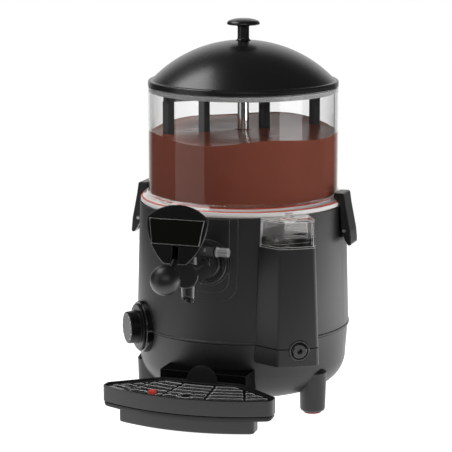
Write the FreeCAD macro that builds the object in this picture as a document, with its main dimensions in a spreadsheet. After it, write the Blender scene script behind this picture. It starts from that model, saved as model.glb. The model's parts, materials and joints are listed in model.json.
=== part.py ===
import FreeCAD, Part
import math
import os
import Sketcher

# Counter-top hot chocolate dispenser.  Millimetres, +Z up, front towards -Y.  Every piece is drawn about
# the bowl's own axis, and each finished piece is then moved back along Y, so that the document's origin
# lies on the table under the middle of the machine.

# ---------------------------------------------------------------- driving dimensions
SIZES = {
    # moulded housing
    "housing_top_radius": 125.0,
    "housing_flare": 4.5,
    "lip_stand": 0.7,
    "lip_height": 2.2,
    "shell_wall": 3.0,
    "seam_height": 95.4,
    "seam_gap": 0.5,
    "housing_top": 245.0,
    "rim_width": 2.6,
    "ledge_drop": 2.6,
    "ledge_width": 7.0,
    "pad_raise": 2.0,
    "pad_half_width": 34.4,
    "pad_drop": 46.0,
    "pad_corner": 21.0,
    "inner_pad_raise": 1.2,
    "inner_pad_inset": 9.0,
    # base pan and feet
    "pan_step": 0.8,
    "pan_draft": 2.7,
    "pan_bottom": 21.5,
    "pan_corner": 38.0,
    "pan_opening": 62.0,
    "tongue_height": 4.0,
    "tongue_gap": 0.6,
    "leg_inset": 13.0,
    "front_leg_angle": 66.3,
    "rear_leg_angle": 150.0,
    "leg_foot_radius": 15.0,
    "leg_top_radius": 16.5,
    "leg_shoulder": 50.0,
    "leg_tip_radius": 8.5,
    "leg_top": 62.0,
    "leg_core": 11.5,
    "foot_radius": 10.5,
    "foot_height": 2.0,
    "foot_stem_radius": 4.0,
    "foot_stem": 7.0,
    "cover_lap": 10.0,
    "cover_thickness": 2.4,
    "screw_margin": 5.0,
    "screw_radius": 1.6,
    # water column at the front right
    "column_inset_x": 75.3,
    "column_inset_y": 11.6,
    "column_face_x": 32.3,
    "column_face_y": 14.2,
    "column_side_x": 42.7,
    "column_side_y": 27.1,
    "column_back_x": 21.2,
    "column_back_y": 35.0,
    "column_face_curve": 180.0,
    "column_edge": 5.0,
    "column_draft": 1.72,
    "column_bottom": 75.0,
    "container_depth": 33.0,
    "container_rise": 1.0,
    "container_wall": 2.0,
    "container_gap": 0.5,
    "filler_side": 6.5,
    "filler_back": 19.1,
    "filler_radius": 7.0,
    "cap_radius": 9.5,
    "drain_side": 22.6,
    "drain_back": 12.5,
    "drain_drop": 1.8,
    "drain_angle": 32.4,
    "drain_radius": 12.5,
    "plug_radius": 9.4,
    # bowl, gasket and lid
    "flange_width": 9.7,
    "bowl_wall": 3.0,
    "bowl_height": 127.0,
    "flange_inset": 1.0,
    "flange_cove": 5.6,
    "flange_edge": 5.2,
    "flange_seat": 1.2,
    "gasket_inset": 1.4,
    "gasket_width": 6.4,
    "gasket_thickness": 4.0,
    "bead_overhang": 0.3,
    "lid_bead_height": 7.5,
    "lid_dome_radius": 152.0,
    "dome_step": 4.6,
    "lid_wall": 2.2,
    "lid_skirt_depth": 6.3,
    "lid_gap": 0.4,
    "knob_radius": 19.8,
    "knob_post_radius": 7.0,
    "knob_height": 26.3,
    "knob_cap": 8.0,
    # product vessel, water jacket and centre tube
    "bath_width": 12.0,
    "vessel_wall": 1.5,
    "outlet_rise": 9.0,
    "vessel_corner": 12.0,
    "vessel_lip": 3.6,
    "jacket_gap": 2.0,
    "bath_depth": 34.0,
    "tube_radius": 7.0,
    "tube_bore": 5.5,
    "tube_end": 6.0,
    "tube_drop": 18.0,
    "heater_inset": 28.0,
    "heater_radius": 4.0,
    "terminal_radius": 3.0,
    "terminal_length": 16.0,
    # mixer and its drive
    "shaft_radius": 4.0,
    "running_gap": 0.06,
    "hub_radius": 13.0,
    "hub_gap": 2.4,
    "hub_height": 12.0,
    "arm_width": 12.0,
    "arm_rise": 1.6,
    "arm_height": 5.0,
    "mixer_angle": 222.5,
    "outer_blade": 96.3,
    "long_side_blade": 51.0,
    "short_side_blade": 28.0,
    "blade_width": 14.0,
    "blade_thickness": 4.0,
    "blade_twist": 44.0,
    "blade_gap": 5.0,
    "mixer_foot_ring": 14.0,
    "motor_radius": 28.0,
    "motor_bottom": 50.0,
    "gearbox_drop": 18.0,
    "gearbox_height": 28.0,
    "gearbox_half_x": 35.0,
    "gearbox_half_y": 30.0,
    "output_boss": 9.0,
    "shaft_depth": 14.0,
    "bracket_half_x": 54.0,
    "bracket_half_y": 22.0,
    # tap
    "tap_height": 193.0,
    "tap_boss_rise": 1.836,
    "tap_shank": 11.0,
    "shank_length": 23.6,
    "barrel_radius": 15.5,
    "barrel_nose": 12.0,
    "barrel_bore": 9.0,
    "ring_radius": 25.5,
    "ring_depth": 6.0,
    "spout_stand": 62.4,
    "spout_top_radius": 9.0,
    "spout_tip_radius": 7.4,
    "spout_bore": 5.8,
    "spout_drop": 37.0,
    "mouth_rise": 12.0,
    "tower_radius": 11.0,
    "tower_rise": 25.0,
    "cross_pin_rise": 9.0,
    "plunger_radius": 7.95,
    "pin_reach": 36.0,
    "pivot_rise": 19.0,
    "pivot_radius": 3.0,
    "cross_pin_radius": 2.5,
    "plunger_stroke": 12.4,
    "handle_swing": 19.0,
    # tap handle
    "arm_inner_x": 16.0,
    "arm_plate": 4.0,
    "handle_hub_radius": 8.0,
    "shield_stand": 46.0,
    "shield_tilt": 11.3,
    "shield_thickness": 3.6,
    "shield_height": 66.3,
    "shield_half_width": 36.0,
    "badge_bottom": 21.5,
    "badge_height": 28.5,
    "badge_thickness": 1.6,
    "ball_radius": 17.0,
    "ball_stand": 28.0,
    "ball_drop": 11.5,
    "neck_length": 34.7,
    "neck_angle": 26.0,
    "neck_radius": 4.0,
    # thermostat dial
    "dial_angle": 51.0,
    "dial_rise": 2.1,
    "bezel_radius": 31.0,
    "bezel_stand": 6.5,
    "dial_skirt_radius": 28.0,
    "dial_grip_radius": 20.0,
    "dial_depth": 16.5,
    "thermostat_radius": 17.0,
    "thermostat_depth": 20.0,
    # bowl clips
    "clip_width": 28.0,
    "clip_cheek": 6.0,
    "clip_stand": 6.5,
    "clip_drop": 40.0,
    "clip_pin_radius": 2.0,
    "clip_depth": 8.8,
    "clip_cap": 5.0,
    "clip_tail": 17.5,
    "clip_nose": 4.4,
    "clip_grip": 5.5,
    # drip tray
    "tray_front_radius": 229.5,
    "tray_half_width": 103.0,
    "tray_depth": 25.0,
    "tray_bottom": 31.0,
    "tray_foot": 7.0,
    "tray_shoulder": 16.1,
    "tray_neck_x": 60.0,
    "tray_neck_length": 8.0,
    "tray_back_x": 48.0,
    "tray_stand": 21.5,
    "tray_wall": 2.4,
    "tray_tab_radius": 19.0,
    "tray_tab_rise": 18.0,
    "grid_drop": 2.4,
    "grid_thickness": 2.4,
    "float_x": 39.4,
    "float_inset": 17.5,
    "float_radius": 4.5,
    "float_stand": 3.4,
    "support_depth": 16.0,
    "support_inset": 21.0,
    "support_front_radius": 222.0,
    "support_shoulder": 17.4,
    "riser_half_width": 53.0,
    "riser_rise": 9.0,
    # mains inlet
    "gland_height": 70.0,
    "gland_bore": 3.7,
    "gland_radius": 10.5,
    "gland_stand": 11.0,
}


class Size:
    """A dimension: the spreadsheet formula that drives the model, and its present value."""

    def __init__(self, formula, value):
        self.formula = formula
        self.value = value

    def _join(self, sign, other, value, swap=False):
        first, second = (formula_of(other), self.formula) if swap else (self.formula, formula_of(other))
        return Size(f"({first} {sign} {second})", value)

    def __add__(self, other):
        return self._join("+", other, self.value + value_of(other))

    def __radd__(self, other):
        return self._join("+", other, value_of(other) + self.value, swap=True)

    def __sub__(self, other):
        return self._join("-", other, self.value - value_of(other))

    def __rsub__(self, other):
        return self._join("-", other, value_of(other) - self.value, swap=True)

    def __mul__(self, other):
        return self._join("*", other, self.value * value_of(other))

    def __rmul__(self, other):
        return self._join("*", other, value_of(other) * self.value, swap=True)

    def __truediv__(self, other):
        return self._join("/", other, self.value / value_of(other))

    def __rtruediv__(self, other):
        return self._join("/", other, value_of(other) / self.value, swap=True)

    def __neg__(self):
        return Size(f"(0 - {self.formula})", -self.value)


def formula_of(number):
    return number.formula if isinstance(number, Size) else repr(float(number))


def value_of(number):
    return number.value if isinstance(number, Size) else float(number)


def root(square):
    return Size(f"sqrt({formula_of(square)})", math.sqrt(value_of(square)))


def sine(degrees):
    return Size(f"sin({formula_of(degrees)})", math.sin(math.radians(value_of(degrees))))


def cosine(degrees):
    return Size(f"cos({formula_of(degrees)})", math.cos(math.radians(value_of(degrees))))


doc = FreeCAD.newDocument("hot_chocolate_dispenser")
sheet = doc.addObject("Spreadsheet::Sheet", "sizes")
for row, (alias, number) in enumerate(SIZES.items(), start=1):
    sheet.set(f"A{row}", alias)
    sheet.set(f"B{row}", repr(number))
    sheet.setAlias(f"B{row}", alias)
doc.recompute()


class Sheet:
    """Gives each spreadsheet cell as a Size, by its alias."""

    def __getattr__(self, alias):
        return Size("sizes." + alias, SIZES[alias])


s = Sheet()
nodes = []
places = {}


# ---------------------------------------------------------------- drawing helpers
def bind(thing, prop, number):
    """Tie a property to its formula, or set it where it is a plain number."""
    if isinstance(number, Size):
        thing.setExpression(prop, number.formula)
    else:
        setattr(thing, prop, number)


def place(thing, x=0, y=0, z=0, yaw=0, roll=0):
    """Put a piece at x, y, z, turned by roll about X and then by yaw about Z."""
    places[thing.Name] = (x, y, z, yaw, roll)
    spot = "; ".join(formula_of(number) for number in (x, y, z))
    turn = f"{formula_of(yaw)}; 0; {formula_of(roll)}"
    text = f"create(<<placement>>; create(<<vector>>; {spot}); create(<<rotation>>; {turn}))"
    thing.setExpression("Placement", text)
    return thing


def node(label, thing):
    """Name a finished piece and move it from the bowl's axis to the document's origin."""
    x, y, z, yaw, roll = places.get(thing.Name, (0, 0, 0, 0, 0))
    place(thing, x, y + bowl_axis, z, yaw, roll)
    thing.Label = label
    nodes.append(thing)
    return thing


def fix_point(sketch, geometry, end, x, y):
    """Hold one end of a line or arc at x, y from the sketch's origin."""
    for kind, axis, number in (("DistanceX", -2, x), ("DistanceY", -1, y)):
        if not isinstance(number, Size) and number == 0:
            sketch.addConstraint(Sketcher.Constraint("PointOnObject", geometry, end, axis))
            continue
        index = sketch.addConstraint(Sketcher.Constraint(kind, -1, 1, geometry, end, value_of(number)))
        if isinstance(number, Size):
            sketch.setExpression(f"Constraints[{index}]", number.formula)


def arc_between(start, end, radius):
    """An arc that bulges to the right of its way, or to the left where the radius is negative."""
    if radius < 0:
        start, end = end, start
    (x0, y0), (x1, y1) = start, end
    size = abs(radius)
    chord = math.hypot(x1 - x0, y1 - y0)
    rise = math.sqrt(max(size * size - chord * chord / 4, 0))
    centre_x = (x0 + x1) / 2 - (y1 - y0) / chord * rise
    centre_y = (y0 + y1) / 2 + (x1 - x0) / chord * rise
    turn_from = math.atan2(y0 - centre_y, x0 - centre_x)
    turn_to = math.atan2(y1 - centre_y, x1 - centre_x)
    if turn_to < turn_from:
        turn_to += 2 * math.pi
    circle = Part.Circle(FreeCAD.Vector(centre_x, centre_y, 0), FreeCAD.Vector(0, 0, 1), size)
    return Part.ArcOfCircle(circle, turn_from, turn_to)


def draw(sketch, outline):
    """Draw a closed outline of corners (x, y), or (x, y, radius) where an arc leads to that corner."""
    count = len(outline)
    first = sketch.GeometryCount
    ends = []
    for index in range(count):
        here = [value_of(number) for number in outline[index][:2]]
        following = outline[(index + 1) % count]
        there = [value_of(number) for number in following[:2]]
        if len(following) == 3:
            radius = value_of(following[2])
            sketch.addGeometry(arc_between(here, there, radius), False)
            ends.append((1, 2) if radius > 0 else (2, 1))
        else:
            start, end = FreeCAD.Vector(*here, 0), FreeCAD.Vector(*there, 0)
            sketch.addGeometry(Part.LineSegment(start, end), False)
            ends.append((1, 2))
    for index in range(count):
        after = (index + 1) % count
        meeting = (first + index, ends[index][1], first + after, ends[after][0])
        sketch.addConstraint(Sketcher.Constraint("Coincident", *meeting))
        fix_point(sketch, first + index, ends[index][0], *outline[index][:2])
        if len(outline[after]) == 3:
            radius = outline[after][2]
            held = sketch.addConstraint(Sketcher.Constraint("Radius", first + index, abs(value_of(radius))))
            if isinstance(radius, Size):
                formula = radius.formula if radius.value > 0 else (-radius).formula
                sketch.setExpression(f"Constraints[{held}]", formula)


def sketch_on(body, role, outlines, rise=0):
    """A sketch on one of the body's own planes, lifted along its normal by rise."""
    sketch = body.newObject("Sketcher::SketchObject", "Outline")
    plane = [item for item in body.Origin.OriginFeatures if item.Role == role][0]
    sketch.AttachmentSupport = [(plane, "")]
    sketch.MapMode = "FlatFace"
    if isinstance(rise, Size):
        sketch.setExpression("AttachmentOffset.Base.z", rise.formula)
    elif rise:
        sketch.AttachmentOffset = FreeCAD.Placement(FreeCAD.Vector(0, 0, rise), FreeCAD.Rotation())
    for outline in outlines:
        draw(sketch, outline)
    return sketch


def new_body(name):
    return doc.addObject("PartDesign::Body", name)


def turned(name, *outlines):
    """A body turned about Z: each outline lies in the X-Z half plane."""
    body = new_body(name)
    profile = sketch_on(body, "XZ_Plane", outlines)
    turn = body.newObject("PartDesign::Revolution", "Turn")
    turn.Profile = profile
    turn.ReferenceAxis = (profile, ["V_Axis"])
    turn.Angle = 360
    return body


def padded(name, role, outlines, start, length, draft=None):
    """A body raised from outlines, from start along the plane's normal (the XZ plane's points to -Y)."""
    body = new_body(name)
    profile = sketch_on(body, role, outlines, start)
    pad = body.newObject("PartDesign::Pad", "Pad")
    pad.Profile = profile
    bind(pad, "Length", length)
    if draft is not None:
        bind(pad, "TaperAngle", draft)
    return body


def soften(body, radius, wanted):
    """Round the edges of the body's last feature for which wanted(edge) is true."""
    doc.recompute()
    feature = body.Tip
    names = [f"Edge{n}" for n, edge in enumerate(feature.Shape.Edges, start=1) if wanted(edge)]
    rounding = body.newObject("PartDesign::Fillet", "Rounding")
    rounding.Base = (feature, names)
    bind(rounding, "Radius", radius)
    return body


def cylinder(radius, height, x=0, y=0, z=0, yaw=0, roll=0):
    thing = doc.addObject("Part::Cylinder", "Cylinder")
    bind(thing, "Radius", radius)
    bind(thing, "Height", height)
    return place(thing, x, y, z, yaw, roll)


def cone(low_radius, high_radius, height, x=0, y=0, z=0, yaw=0, roll=0):
    thing = doc.addObject("Part::Cone", "Cone")
    bind(thing, "Radius1", low_radius)
    bind(thing, "Radius2", high_radius)
    bind(thing, "Height", height)
    return place(thing, x, y, z, yaw, roll)


def box(x0, x1, y0, y1, z0, z1):
    """A box between two limits on each axis."""
    thing = doc.addObject("Part::Box", "Box")
    bind(thing, "Length", x1 - x0)
    bind(thing, "Width", y1 - y0)
    bind(thing, "Height", z1 - z0)
    return place(thing, x0, y0, z0)


def torus(circle, radius, x=0, y=0, z=0):
    thing = doc.addObject("Part::Torus", "Torus")
    bind(thing, "Radius1", circle)
    bind(thing, "Radius2", radius)
    return place(thing, x, y, z)


def sphere(radius, z):
    thing = doc.addObject("Part::Sphere", "Sphere")
    bind(thing, "Radius", radius)
    return place(thing, 0, 0, z)


def fused(*things):
    thing = doc.addObject("Part::MultiFuse", "Joined")
    thing.Shapes = list(things)
    return thing


def cut(base, *tools):
    thing = doc.addObject("Part::Cut", "Cut")
    thing.Base = base
    thing.Tool = tools[0] if len(tools) == 1 else fused(*tools)
    return thing


def common(first, second):
    thing = doc.addObject("Part::Common", "Shared")
    thing.Base = first
    thing.Tool = second
    return thing


def group(*things):
    """Like pieces that stay separate solids but share one node."""
    thing = doc.addObject("Part::Compound", "Group")
    thing.Links = list(things)
    return thing


def around(angle, radius):
    """Machine X and Y of a point at an angle from the front, towards the right."""
    return radius * sine(angle), -(radius * cosine(angle))


# ---------------------------------------------------------------- distances that several pieces share
housing_low_radius = s.housing_top_radius + s.housing_flare
lip_radius = housing_low_radius + s.lip_stand
ledge_bore = s.housing_top_radius - s.ledge_width
pan_rim_radius = housing_low_radius - s.pan_step
pan_side_radius = pan_rim_radius - s.pan_draft
leg_circle = pan_side_radius - s.leg_inset
screw_circle = s.pan_opening + s.screw_margin
cover_radius = s.pan_opening + s.cover_lap
flange_radius = s.housing_top_radius - s.flange_inset
bowl_radius = flange_radius - s.flange_width
gasket_inner = bowl_radius - s.gasket_inset
gasket_outer = gasket_inner + s.gasket_width
lid_bead_radius = bowl_radius + s.bead_overhang
lid_dome_edge = lid_bead_radius - s.dome_step
vessel_radius = ledge_bore - s.bath_width
vessel_flange = ledge_bore + s.vessel_lip
jacket_radius = ledge_bore - s.jacket_gap
heater_circle = vessel_radius - s.heater_inset
flange_bottom = s.housing_top + s.flange_seat
flange_edge_top = flange_bottom + s.flange_edge
flange_top = flange_edge_top + s.flange_cove
bowl_top = flange_top + s.bowl_height
tube_top = bowl_top - s.tube_drop
hub_bottom = tube_top + s.hub_gap
arm_bottom = hub_bottom + s.arm_rise
vessel_bottom = s.tap_height - s.outlet_rise
blade_bottom = vessel_bottom + s.blade_gap
jacket_bottom = vessel_bottom - s.bath_depth
tube_bottom = jacket_bottom - s.tube_end
gearbox_top = jacket_bottom - s.gearbox_drop
pad_bottom = s.tap_height - s.pad_drop
spout_tip = s.tap_height - s.spout_drop
spout_mouth = spout_tip + s.mouth_rise
dial_height = s.seam_height + s.dial_rise
drain_height = s.seam_height - s.drain_drop
container_top = s.housing_top + s.container_rise
column_roof = container_top - s.container_depth
bezel_face = pan_side_radius + s.bezel_stand
dial_end = bezel_face + s.dial_depth
gland_end = pan_side_radius + s.gland_stand
tray_back_y = pan_side_radius + s.tray_stand
tray_neck_y = tray_back_y + s.tray_neck_length
tray_groove = s.tray_bottom + s.tray_foot
tray_rim = s.tray_bottom + s.tray_depth
tray_tab_top = tray_rim + s.tray_tab_rise
grid_top = tray_rim - s.grid_drop
float_top = grid_top + s.float_stand
support_bottom = s.tray_bottom - s.support_depth
riser_top = tray_rim + s.riser_rise
column_left_x = housing_low_radius - s.column_inset_x
column_left_y = housing_low_radius - s.column_inset_y
column_corner_x = column_left_x + s.column_face_x
column_corner_y = column_left_y + s.column_face_y
column_outer_x = column_corner_x + s.column_side_x
column_outer_y = column_corner_y - s.column_side_y
column_rear_x = column_outer_x - s.column_back_x
column_rear_y = column_outer_y - s.column_back_y
filler_x = column_corner_x + s.filler_side
drain_x = column_corner_x + s.drain_side
drain_y = column_corner_y - s.drain_back
housing_slope = (housing_low_radius - s.housing_top_radius) / (s.housing_top - s.seam_height)
ledge_top = s.housing_top - s.ledge_drop


def housing_radius(height):
    """Outer radius of the tapered housing at a height."""
    return housing_low_radius - housing_slope * (height - s.seam_height)


tap_face = housing_radius(s.tap_height) + s.pad_raise + s.inner_pad_raise + s.tap_boss_rise
tap_shank_end = tap_face - s.shank_length
spout_reach = tap_face + s.spout_stand
barrel_end = spout_reach + s.barrel_nose
pivot_reach = spout_reach - s.pin_reach
shield_foot_reach = spout_reach + s.shield_stand
ball_reach = shield_foot_reach + s.ball_stand
front_reach = ball_reach + s.ball_radius
bowl_axis = (front_reach - gland_end) / 2


# ---------------------------------------------------------------- water column, shared by three pieces
column_centre = (column_corner_x + 2, column_left_y - 18)


def column(z_low, z_high, inset=0):
    """The tapered column at the front right between two heights, its walls moved in by inset."""
    share = 1 - inset / (column_left_y - column_rear_y)

    def shrunk(x, y):
        cx, cy = column_centre
        return cx + (x - cx) * share, -(cy + (y - cy) * share)

    outline = [
        shrunk(column_left_x, column_left_y),
        shrunk(column_corner_x, column_corner_y),
        (*shrunk(column_outer_x, column_outer_y), s.column_face_curve),
        shrunk(column_rear_x, column_rear_y),
        shrunk(column_left_x + 12, column_rear_y - 12),
    ]
    height = container_top - s.column_bottom
    body = padded("Column", "XY_Plane", [outline], s.column_bottom, height, -s.column_draft)
    corner_x = [value_of(outline[1][0]), value_of(outline[2][0])]

    def front_corner(edge):
        low = min((v.Point for v in edge.Vertexes), key=lambda p: p.z)
        tall = edge.BoundBox.ZLength > value_of(height) / 2
        return tall and min(abs(low.x - x) for x in corner_x) < 1

    soften(body, s.column_edge * share, front_corner)
    reach = s.tray_front_radius
    return common(body, box(0, reach, -reach, 0, z_low, z_high))


# ---------------------------------------------------------------- upper housing
housing_bottom = s.seam_height + s.seam_gap
lip_top = housing_bottom + s.lip_height
housing_skin = turned(
    "HousingSkin",
    [
        (0, housing_bottom),
        (lip_radius, housing_bottom),
        (lip_radius, lip_top),
        (housing_radius(lip_top + 1), lip_top + 1),
        (s.housing_top_radius, s.housing_top),
        (0, s.housing_top),
    ],
)
housing_cavity = turned(
    "HousingCavity",
    [
        (0, housing_bottom - 1),
        (housing_low_radius - s.shell_wall, housing_bottom - 1),
        (housing_radius(ledge_top - s.shell_wall) - s.shell_wall, ledge_top - s.shell_wall),
        (ledge_bore, ledge_top - s.shell_wall),
        (ledge_bore, ledge_top),
        (s.housing_top_radius - s.rim_width, ledge_top),
        (s.housing_top_radius - s.rim_width, s.housing_top + 1),
        (0, s.housing_top + 1),
    ],
)


def tap_pad(inset, raised):
    """The U-shaped raised pad behind the tap: its outline, cut from a skin that stands proud of the shell."""
    half = s.pad_half_width - inset
    low = pad_bottom + inset * 1.2
    corner = s.pad_corner - inset * 0.6
    top = s.housing_top - 1
    outline = [
        (-half, top),
        (-half, low + corner),
        (-half + corner, low, corner),
        (half - corner, low),
        (half, low + corner, corner),
        (half, top),
    ]
    plate = padded("PadOutline", "XZ_Plane", [outline], 0, s.tray_front_radius)
    skin = turned(
        "PadSkin",
        [
            (0, pad_bottom - 5),
            (housing_radius(pad_bottom - 5) + raised, pad_bottom - 5),
            (s.housing_top_radius + raised, s.housing_top),
            (0, s.housing_top),
        ],
    )
    return common(plate, skin)


tap_boss_radius = s.ring_radius + 1.5
tap_boss = cylinder(tap_boss_radius, tap_face - tap_shank_end, 0, -tap_shank_end, s.tap_height, 0, 90)
housing_solid = fused(
    housing_skin,
    column(housing_bottom, column_roof),
    tap_pad(0, s.pad_raise),
    tap_pad(s.inner_pad_inset, s.pad_raise + s.inner_pad_raise),
    tap_boss,
)
tap_hole = cylinder(s.tap_shank + 1, tap_face, 0, 0, s.tap_height, 0, 90)
dial_bore_length = 40.0
dial_bore_start = pan_side_radius - dial_bore_length * 0.75
dial_x, dial_y = around(-s.dial_angle, dial_bore_start)
bezel_seat_radius = s.bezel_radius + 0.2


def dial_hole():
    return cylinder(bezel_seat_radius, dial_bore_length, dial_x, dial_y, dial_height, -s.dial_angle, 90)


drain_depth = s.shell_wall * 4
drain_run = 40.0
drain_back_x = drain_x - drain_depth * sine(s.drain_angle)
drain_back_y = -(drain_y - drain_depth * cosine(s.drain_angle))


def drain_hole():
    """The round seat for the drain socket, half in the housing and half in the pan."""
    seat = s.drain_radius + 0.1
    return cylinder(seat, drain_run, drain_back_x, drain_back_y, drain_height, s.drain_angle, 90)


outlet_x = column_corner_x + 4
outlet_y = -(column_left_y - 6)
outlet_radius = 5.0
water_outlet_hole = cylinder(outlet_radius + 0.3, 20, outlet_x, outlet_y, column_roof - 10)
node(
    "upper_housing",
    cut(
        housing_solid,
        housing_cavity,
        column(housing_bottom - 1, column_roof - s.shell_wall, s.shell_wall),
        tap_hole,
        dial_hole(),
        drain_hole(),
        water_outlet_hole,
    ),
)

# ---------------------------------------------------------------- base pan, legs and feet
pan_flat = pan_side_radius - s.pan_corner
pan_corner_top = s.pan_bottom + s.pan_corner


def pan_profile(inset, rise):
    """The pan's outside, or its inside when moved in by a wall."""
    return [
        (0, s.pan_bottom + inset),
        (pan_flat, s.pan_bottom + inset),
        (pan_side_radius - inset, pan_corner_top, s.pan_corner - inset),
        (pan_rim_radius - inset, s.seam_height + rise),
        (0, s.seam_height + rise),
    ]


def pan_outside():
    return turned("PanOutside", pan_profile(0, 0))


leg_angles = (s.front_leg_angle, s.rear_leg_angle, -s.rear_leg_angle, -s.front_leg_angle)
leg_floor = s.foot_height + s.foot_stem + s.shell_wall
legs = []
leg_cores = []
foot_sockets = []
foot_pads = []
for angle in leg_angles:
    leg_x, leg_y = around(angle, leg_circle)
    leg = turned(
        "Leg",
        [
            (0, s.foot_height),
            (s.leg_foot_radius - 4, s.foot_height),
            (s.leg_foot_radius, s.foot_height + 4, 4),
            (s.leg_top_radius, s.leg_shoulder),
            (s.leg_tip_radius, s.leg_top),
            (0, s.leg_top),
        ],
    )
    legs.append(place(leg, leg_x, leg_y))
    leg_cores.append(cylinder(s.leg_core, s.leg_shoulder - leg_floor, leg_x, leg_y, leg_floor))
    foot_sockets.append(cylinder(s.foot_stem_radius, s.foot_stem + 1, leg_x, leg_y, s.foot_height - 1))
    pad = turned(
        "FootPad",
        [
            (0, 0),
            (s.foot_radius - 0.6, 0),
            (s.foot_radius, 0.6, 0.6),
            (s.foot_radius, s.foot_height),
            (s.foot_stem_radius, s.foot_height),
            (s.foot_stem_radius, s.foot_height + s.foot_stem - 0.5),
            (0, s.foot_height + s.foot_stem - 0.5),
        ],
    )
    foot_pads.append(place(pad, leg_x, leg_y))

tongue_radius = housing_low_radius - s.shell_wall - s.tongue_gap
tongue = turned(
    "Tongue",
    [
        (tongue_radius - 2, s.seam_height - 6),
        (tongue_radius, s.seam_height - 6),
        (tongue_radius, s.seam_height + s.tongue_height),
        (tongue_radius - 2, s.seam_height + s.tongue_height),
    ],
)
pan_solid = cut(
    fused(pan_outside(), *legs, column(s.column_bottom, s.seam_height)),
    turned("PanInside", pan_profile(s.shell_wall, 1)),
    column(s.column_bottom + s.shell_wall, s.seam_height + 1, s.shell_wall),
    cylinder(s.pan_opening, 10, 0, 0, s.pan_bottom - 5),
    *leg_cores,
    *foot_sockets,
)
screw_angles = (45, 135, 225, 315)
pan_screw_holes = []
for angle in screw_angles:
    hole_x, hole_y = around(angle, screw_circle)
    pan_screw_holes.append(cylinder(s.screw_radius, 10, hole_x, hole_y, s.pan_bottom - 5))
gland_wall_y = pan_side_radius + 1.4
gland_hole = cylinder(s.gland_radius - 3.4, 20, 0, pan_side_radius + 8, s.gland_height, 0, 90)
gland_face = cylinder(s.gland_radius + 0.1, 10, 0, gland_wall_y + 10, s.gland_height, 0, 90)
node(
    "base_pan",
    cut(
        fused(pan_solid, cut(tongue, column(s.column_bottom, column_roof))),
        dial_hole(),
        drain_hole(),
        gland_hole,
        gland_face,
        *pan_screw_holes,
    ),
)
node("foot_pads", group(*foot_pads))

# Bottom cover: a pressed disc with a ring of cooling slots, held by screws.
cover_low = s.pan_bottom - s.cover_thickness
cover = turned(
    "BottomCover",
    [
        (0, cover_low),
        (cover_radius - 1, cover_low),
        (cover_radius, s.pan_bottom - s.cover_thickness / 2),
        (cover_radius, s.pan_bottom),
        (0, s.pan_bottom),
    ],
)
slot_inner = screw_circle / 3
slot_outer = screw_circle - 14
slot_half = 2.0
slot = sketch_on(
    cover,
    "XY_Plane",
    [
        [
            (slot_inner, -slot_half),
            (slot_outer, -slot_half),
            (slot_outer, slot_half),
            (slot_inner, slot_half),
        ]
    ],
    cover_low,
)
vent = cover.newObject("PartDesign::Pocket", "Vent")
vent.Profile = slot
vent.Type = "ThroughAll"
vent.Reversed = True
vent_ring = cover.newObject("PartDesign::PolarPattern", "VentRing")
vent_ring.Originals = [vent]
vent_ring.Axis = ([item for item in cover.Origin.OriginFeatures if item.Role == "Z_Axis"][0], [""])
vent_ring.Angle = 360
vent_ring.Occurrences = 16
cover.Tip = vent_ring
cover_holes = []
cover_screws = []
screw_head = 2.0
for angle in screw_angles:
    hole_x, hole_y = around(angle, screw_circle)
    cover_holes.append(cylinder(s.screw_radius + 0.2, 10, hole_x, hole_y, s.pan_bottom - 5))
    screw = turned(
        "CoverScrew",
        [
            (0, cover_low - screw_head),
            (s.screw_radius * 1.4, cover_low - screw_head),
            (s.screw_radius * 2, cover_low - screw_head * 0.4, s.screw_radius * 2),
            (s.screw_radius * 2, cover_low),
            (s.screw_radius, cover_low),
            (s.screw_radius, s.pan_bottom + s.shell_wall),
            (0, s.pan_bottom + s.shell_wall),
        ],
    )
    cover_screws.append(place(screw, hole_x, hole_y))
node("bottom_cover", cut(cover, *cover_holes))
node("cover_screws", group(*cover_screws))

# Mains inlet: a hollow gland through the back of the pan, clamped by a nut inside.
gland_shank = s.gland_radius - 3.6
gland = turned(
    "CableGland",
    [
        (s.gland_bore, 0),
        (gland_shank, 0),
        (gland_shank, 1.2),
        (s.gland_radius - 0.5, 1.2),
        (s.gland_radius - 0.5, 5),
        (gland_shank, 5),
        (gland_shank, gland_wall_y - gland_end + 20),
        (s.gland_radius, gland_wall_y - gland_end + 20),
        (s.gland_radius, 16),
        (s.gland_radius - 3, 20),
        (s.gland_bore, 20),
    ],
)
node("cable_gland", place(gland, 0, gland_end - 20, s.gland_height, 180, 90))


# ---------------------------------------------------------------- water container, filler cap and drain
def beyond_housing(gap):
    """Everything outside the tapered housing by a gap, as a solid to cut away."""
    low = s.seam_height
    high = container_top + 20
    return turned(
        "HousingClearance",
        [
            (0, low),
            (housing_radius(low) + gap, low),
            (housing_radius(high) + gap, high),
            (0, high),
        ],
    )


container_floor = column_roof + s.container_wall
container_shell = cut(column(column_roof, container_top), beyond_housing(s.container_gap))
container_space = cut(
    column(container_floor, container_top - s.container_wall, s.container_wall),
    beyond_housing(s.container_gap + s.container_wall),
)
filler_y = s.filler_back - column_corner_y
outlet_pipe = cylinder(outlet_radius, 8, outlet_x, outlet_y, column_roof - 7)
outlet_bore = cylinder(outlet_radius - 1.4, 12, outlet_x, outlet_y, column_roof - 8)
filler_hole = cylinder(s.filler_radius, 10, filler_x, filler_y, container_top - 5)
node("water_container", cut(fused(container_shell, outlet_pipe), container_space, outlet_bore, filler_hole))

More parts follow.
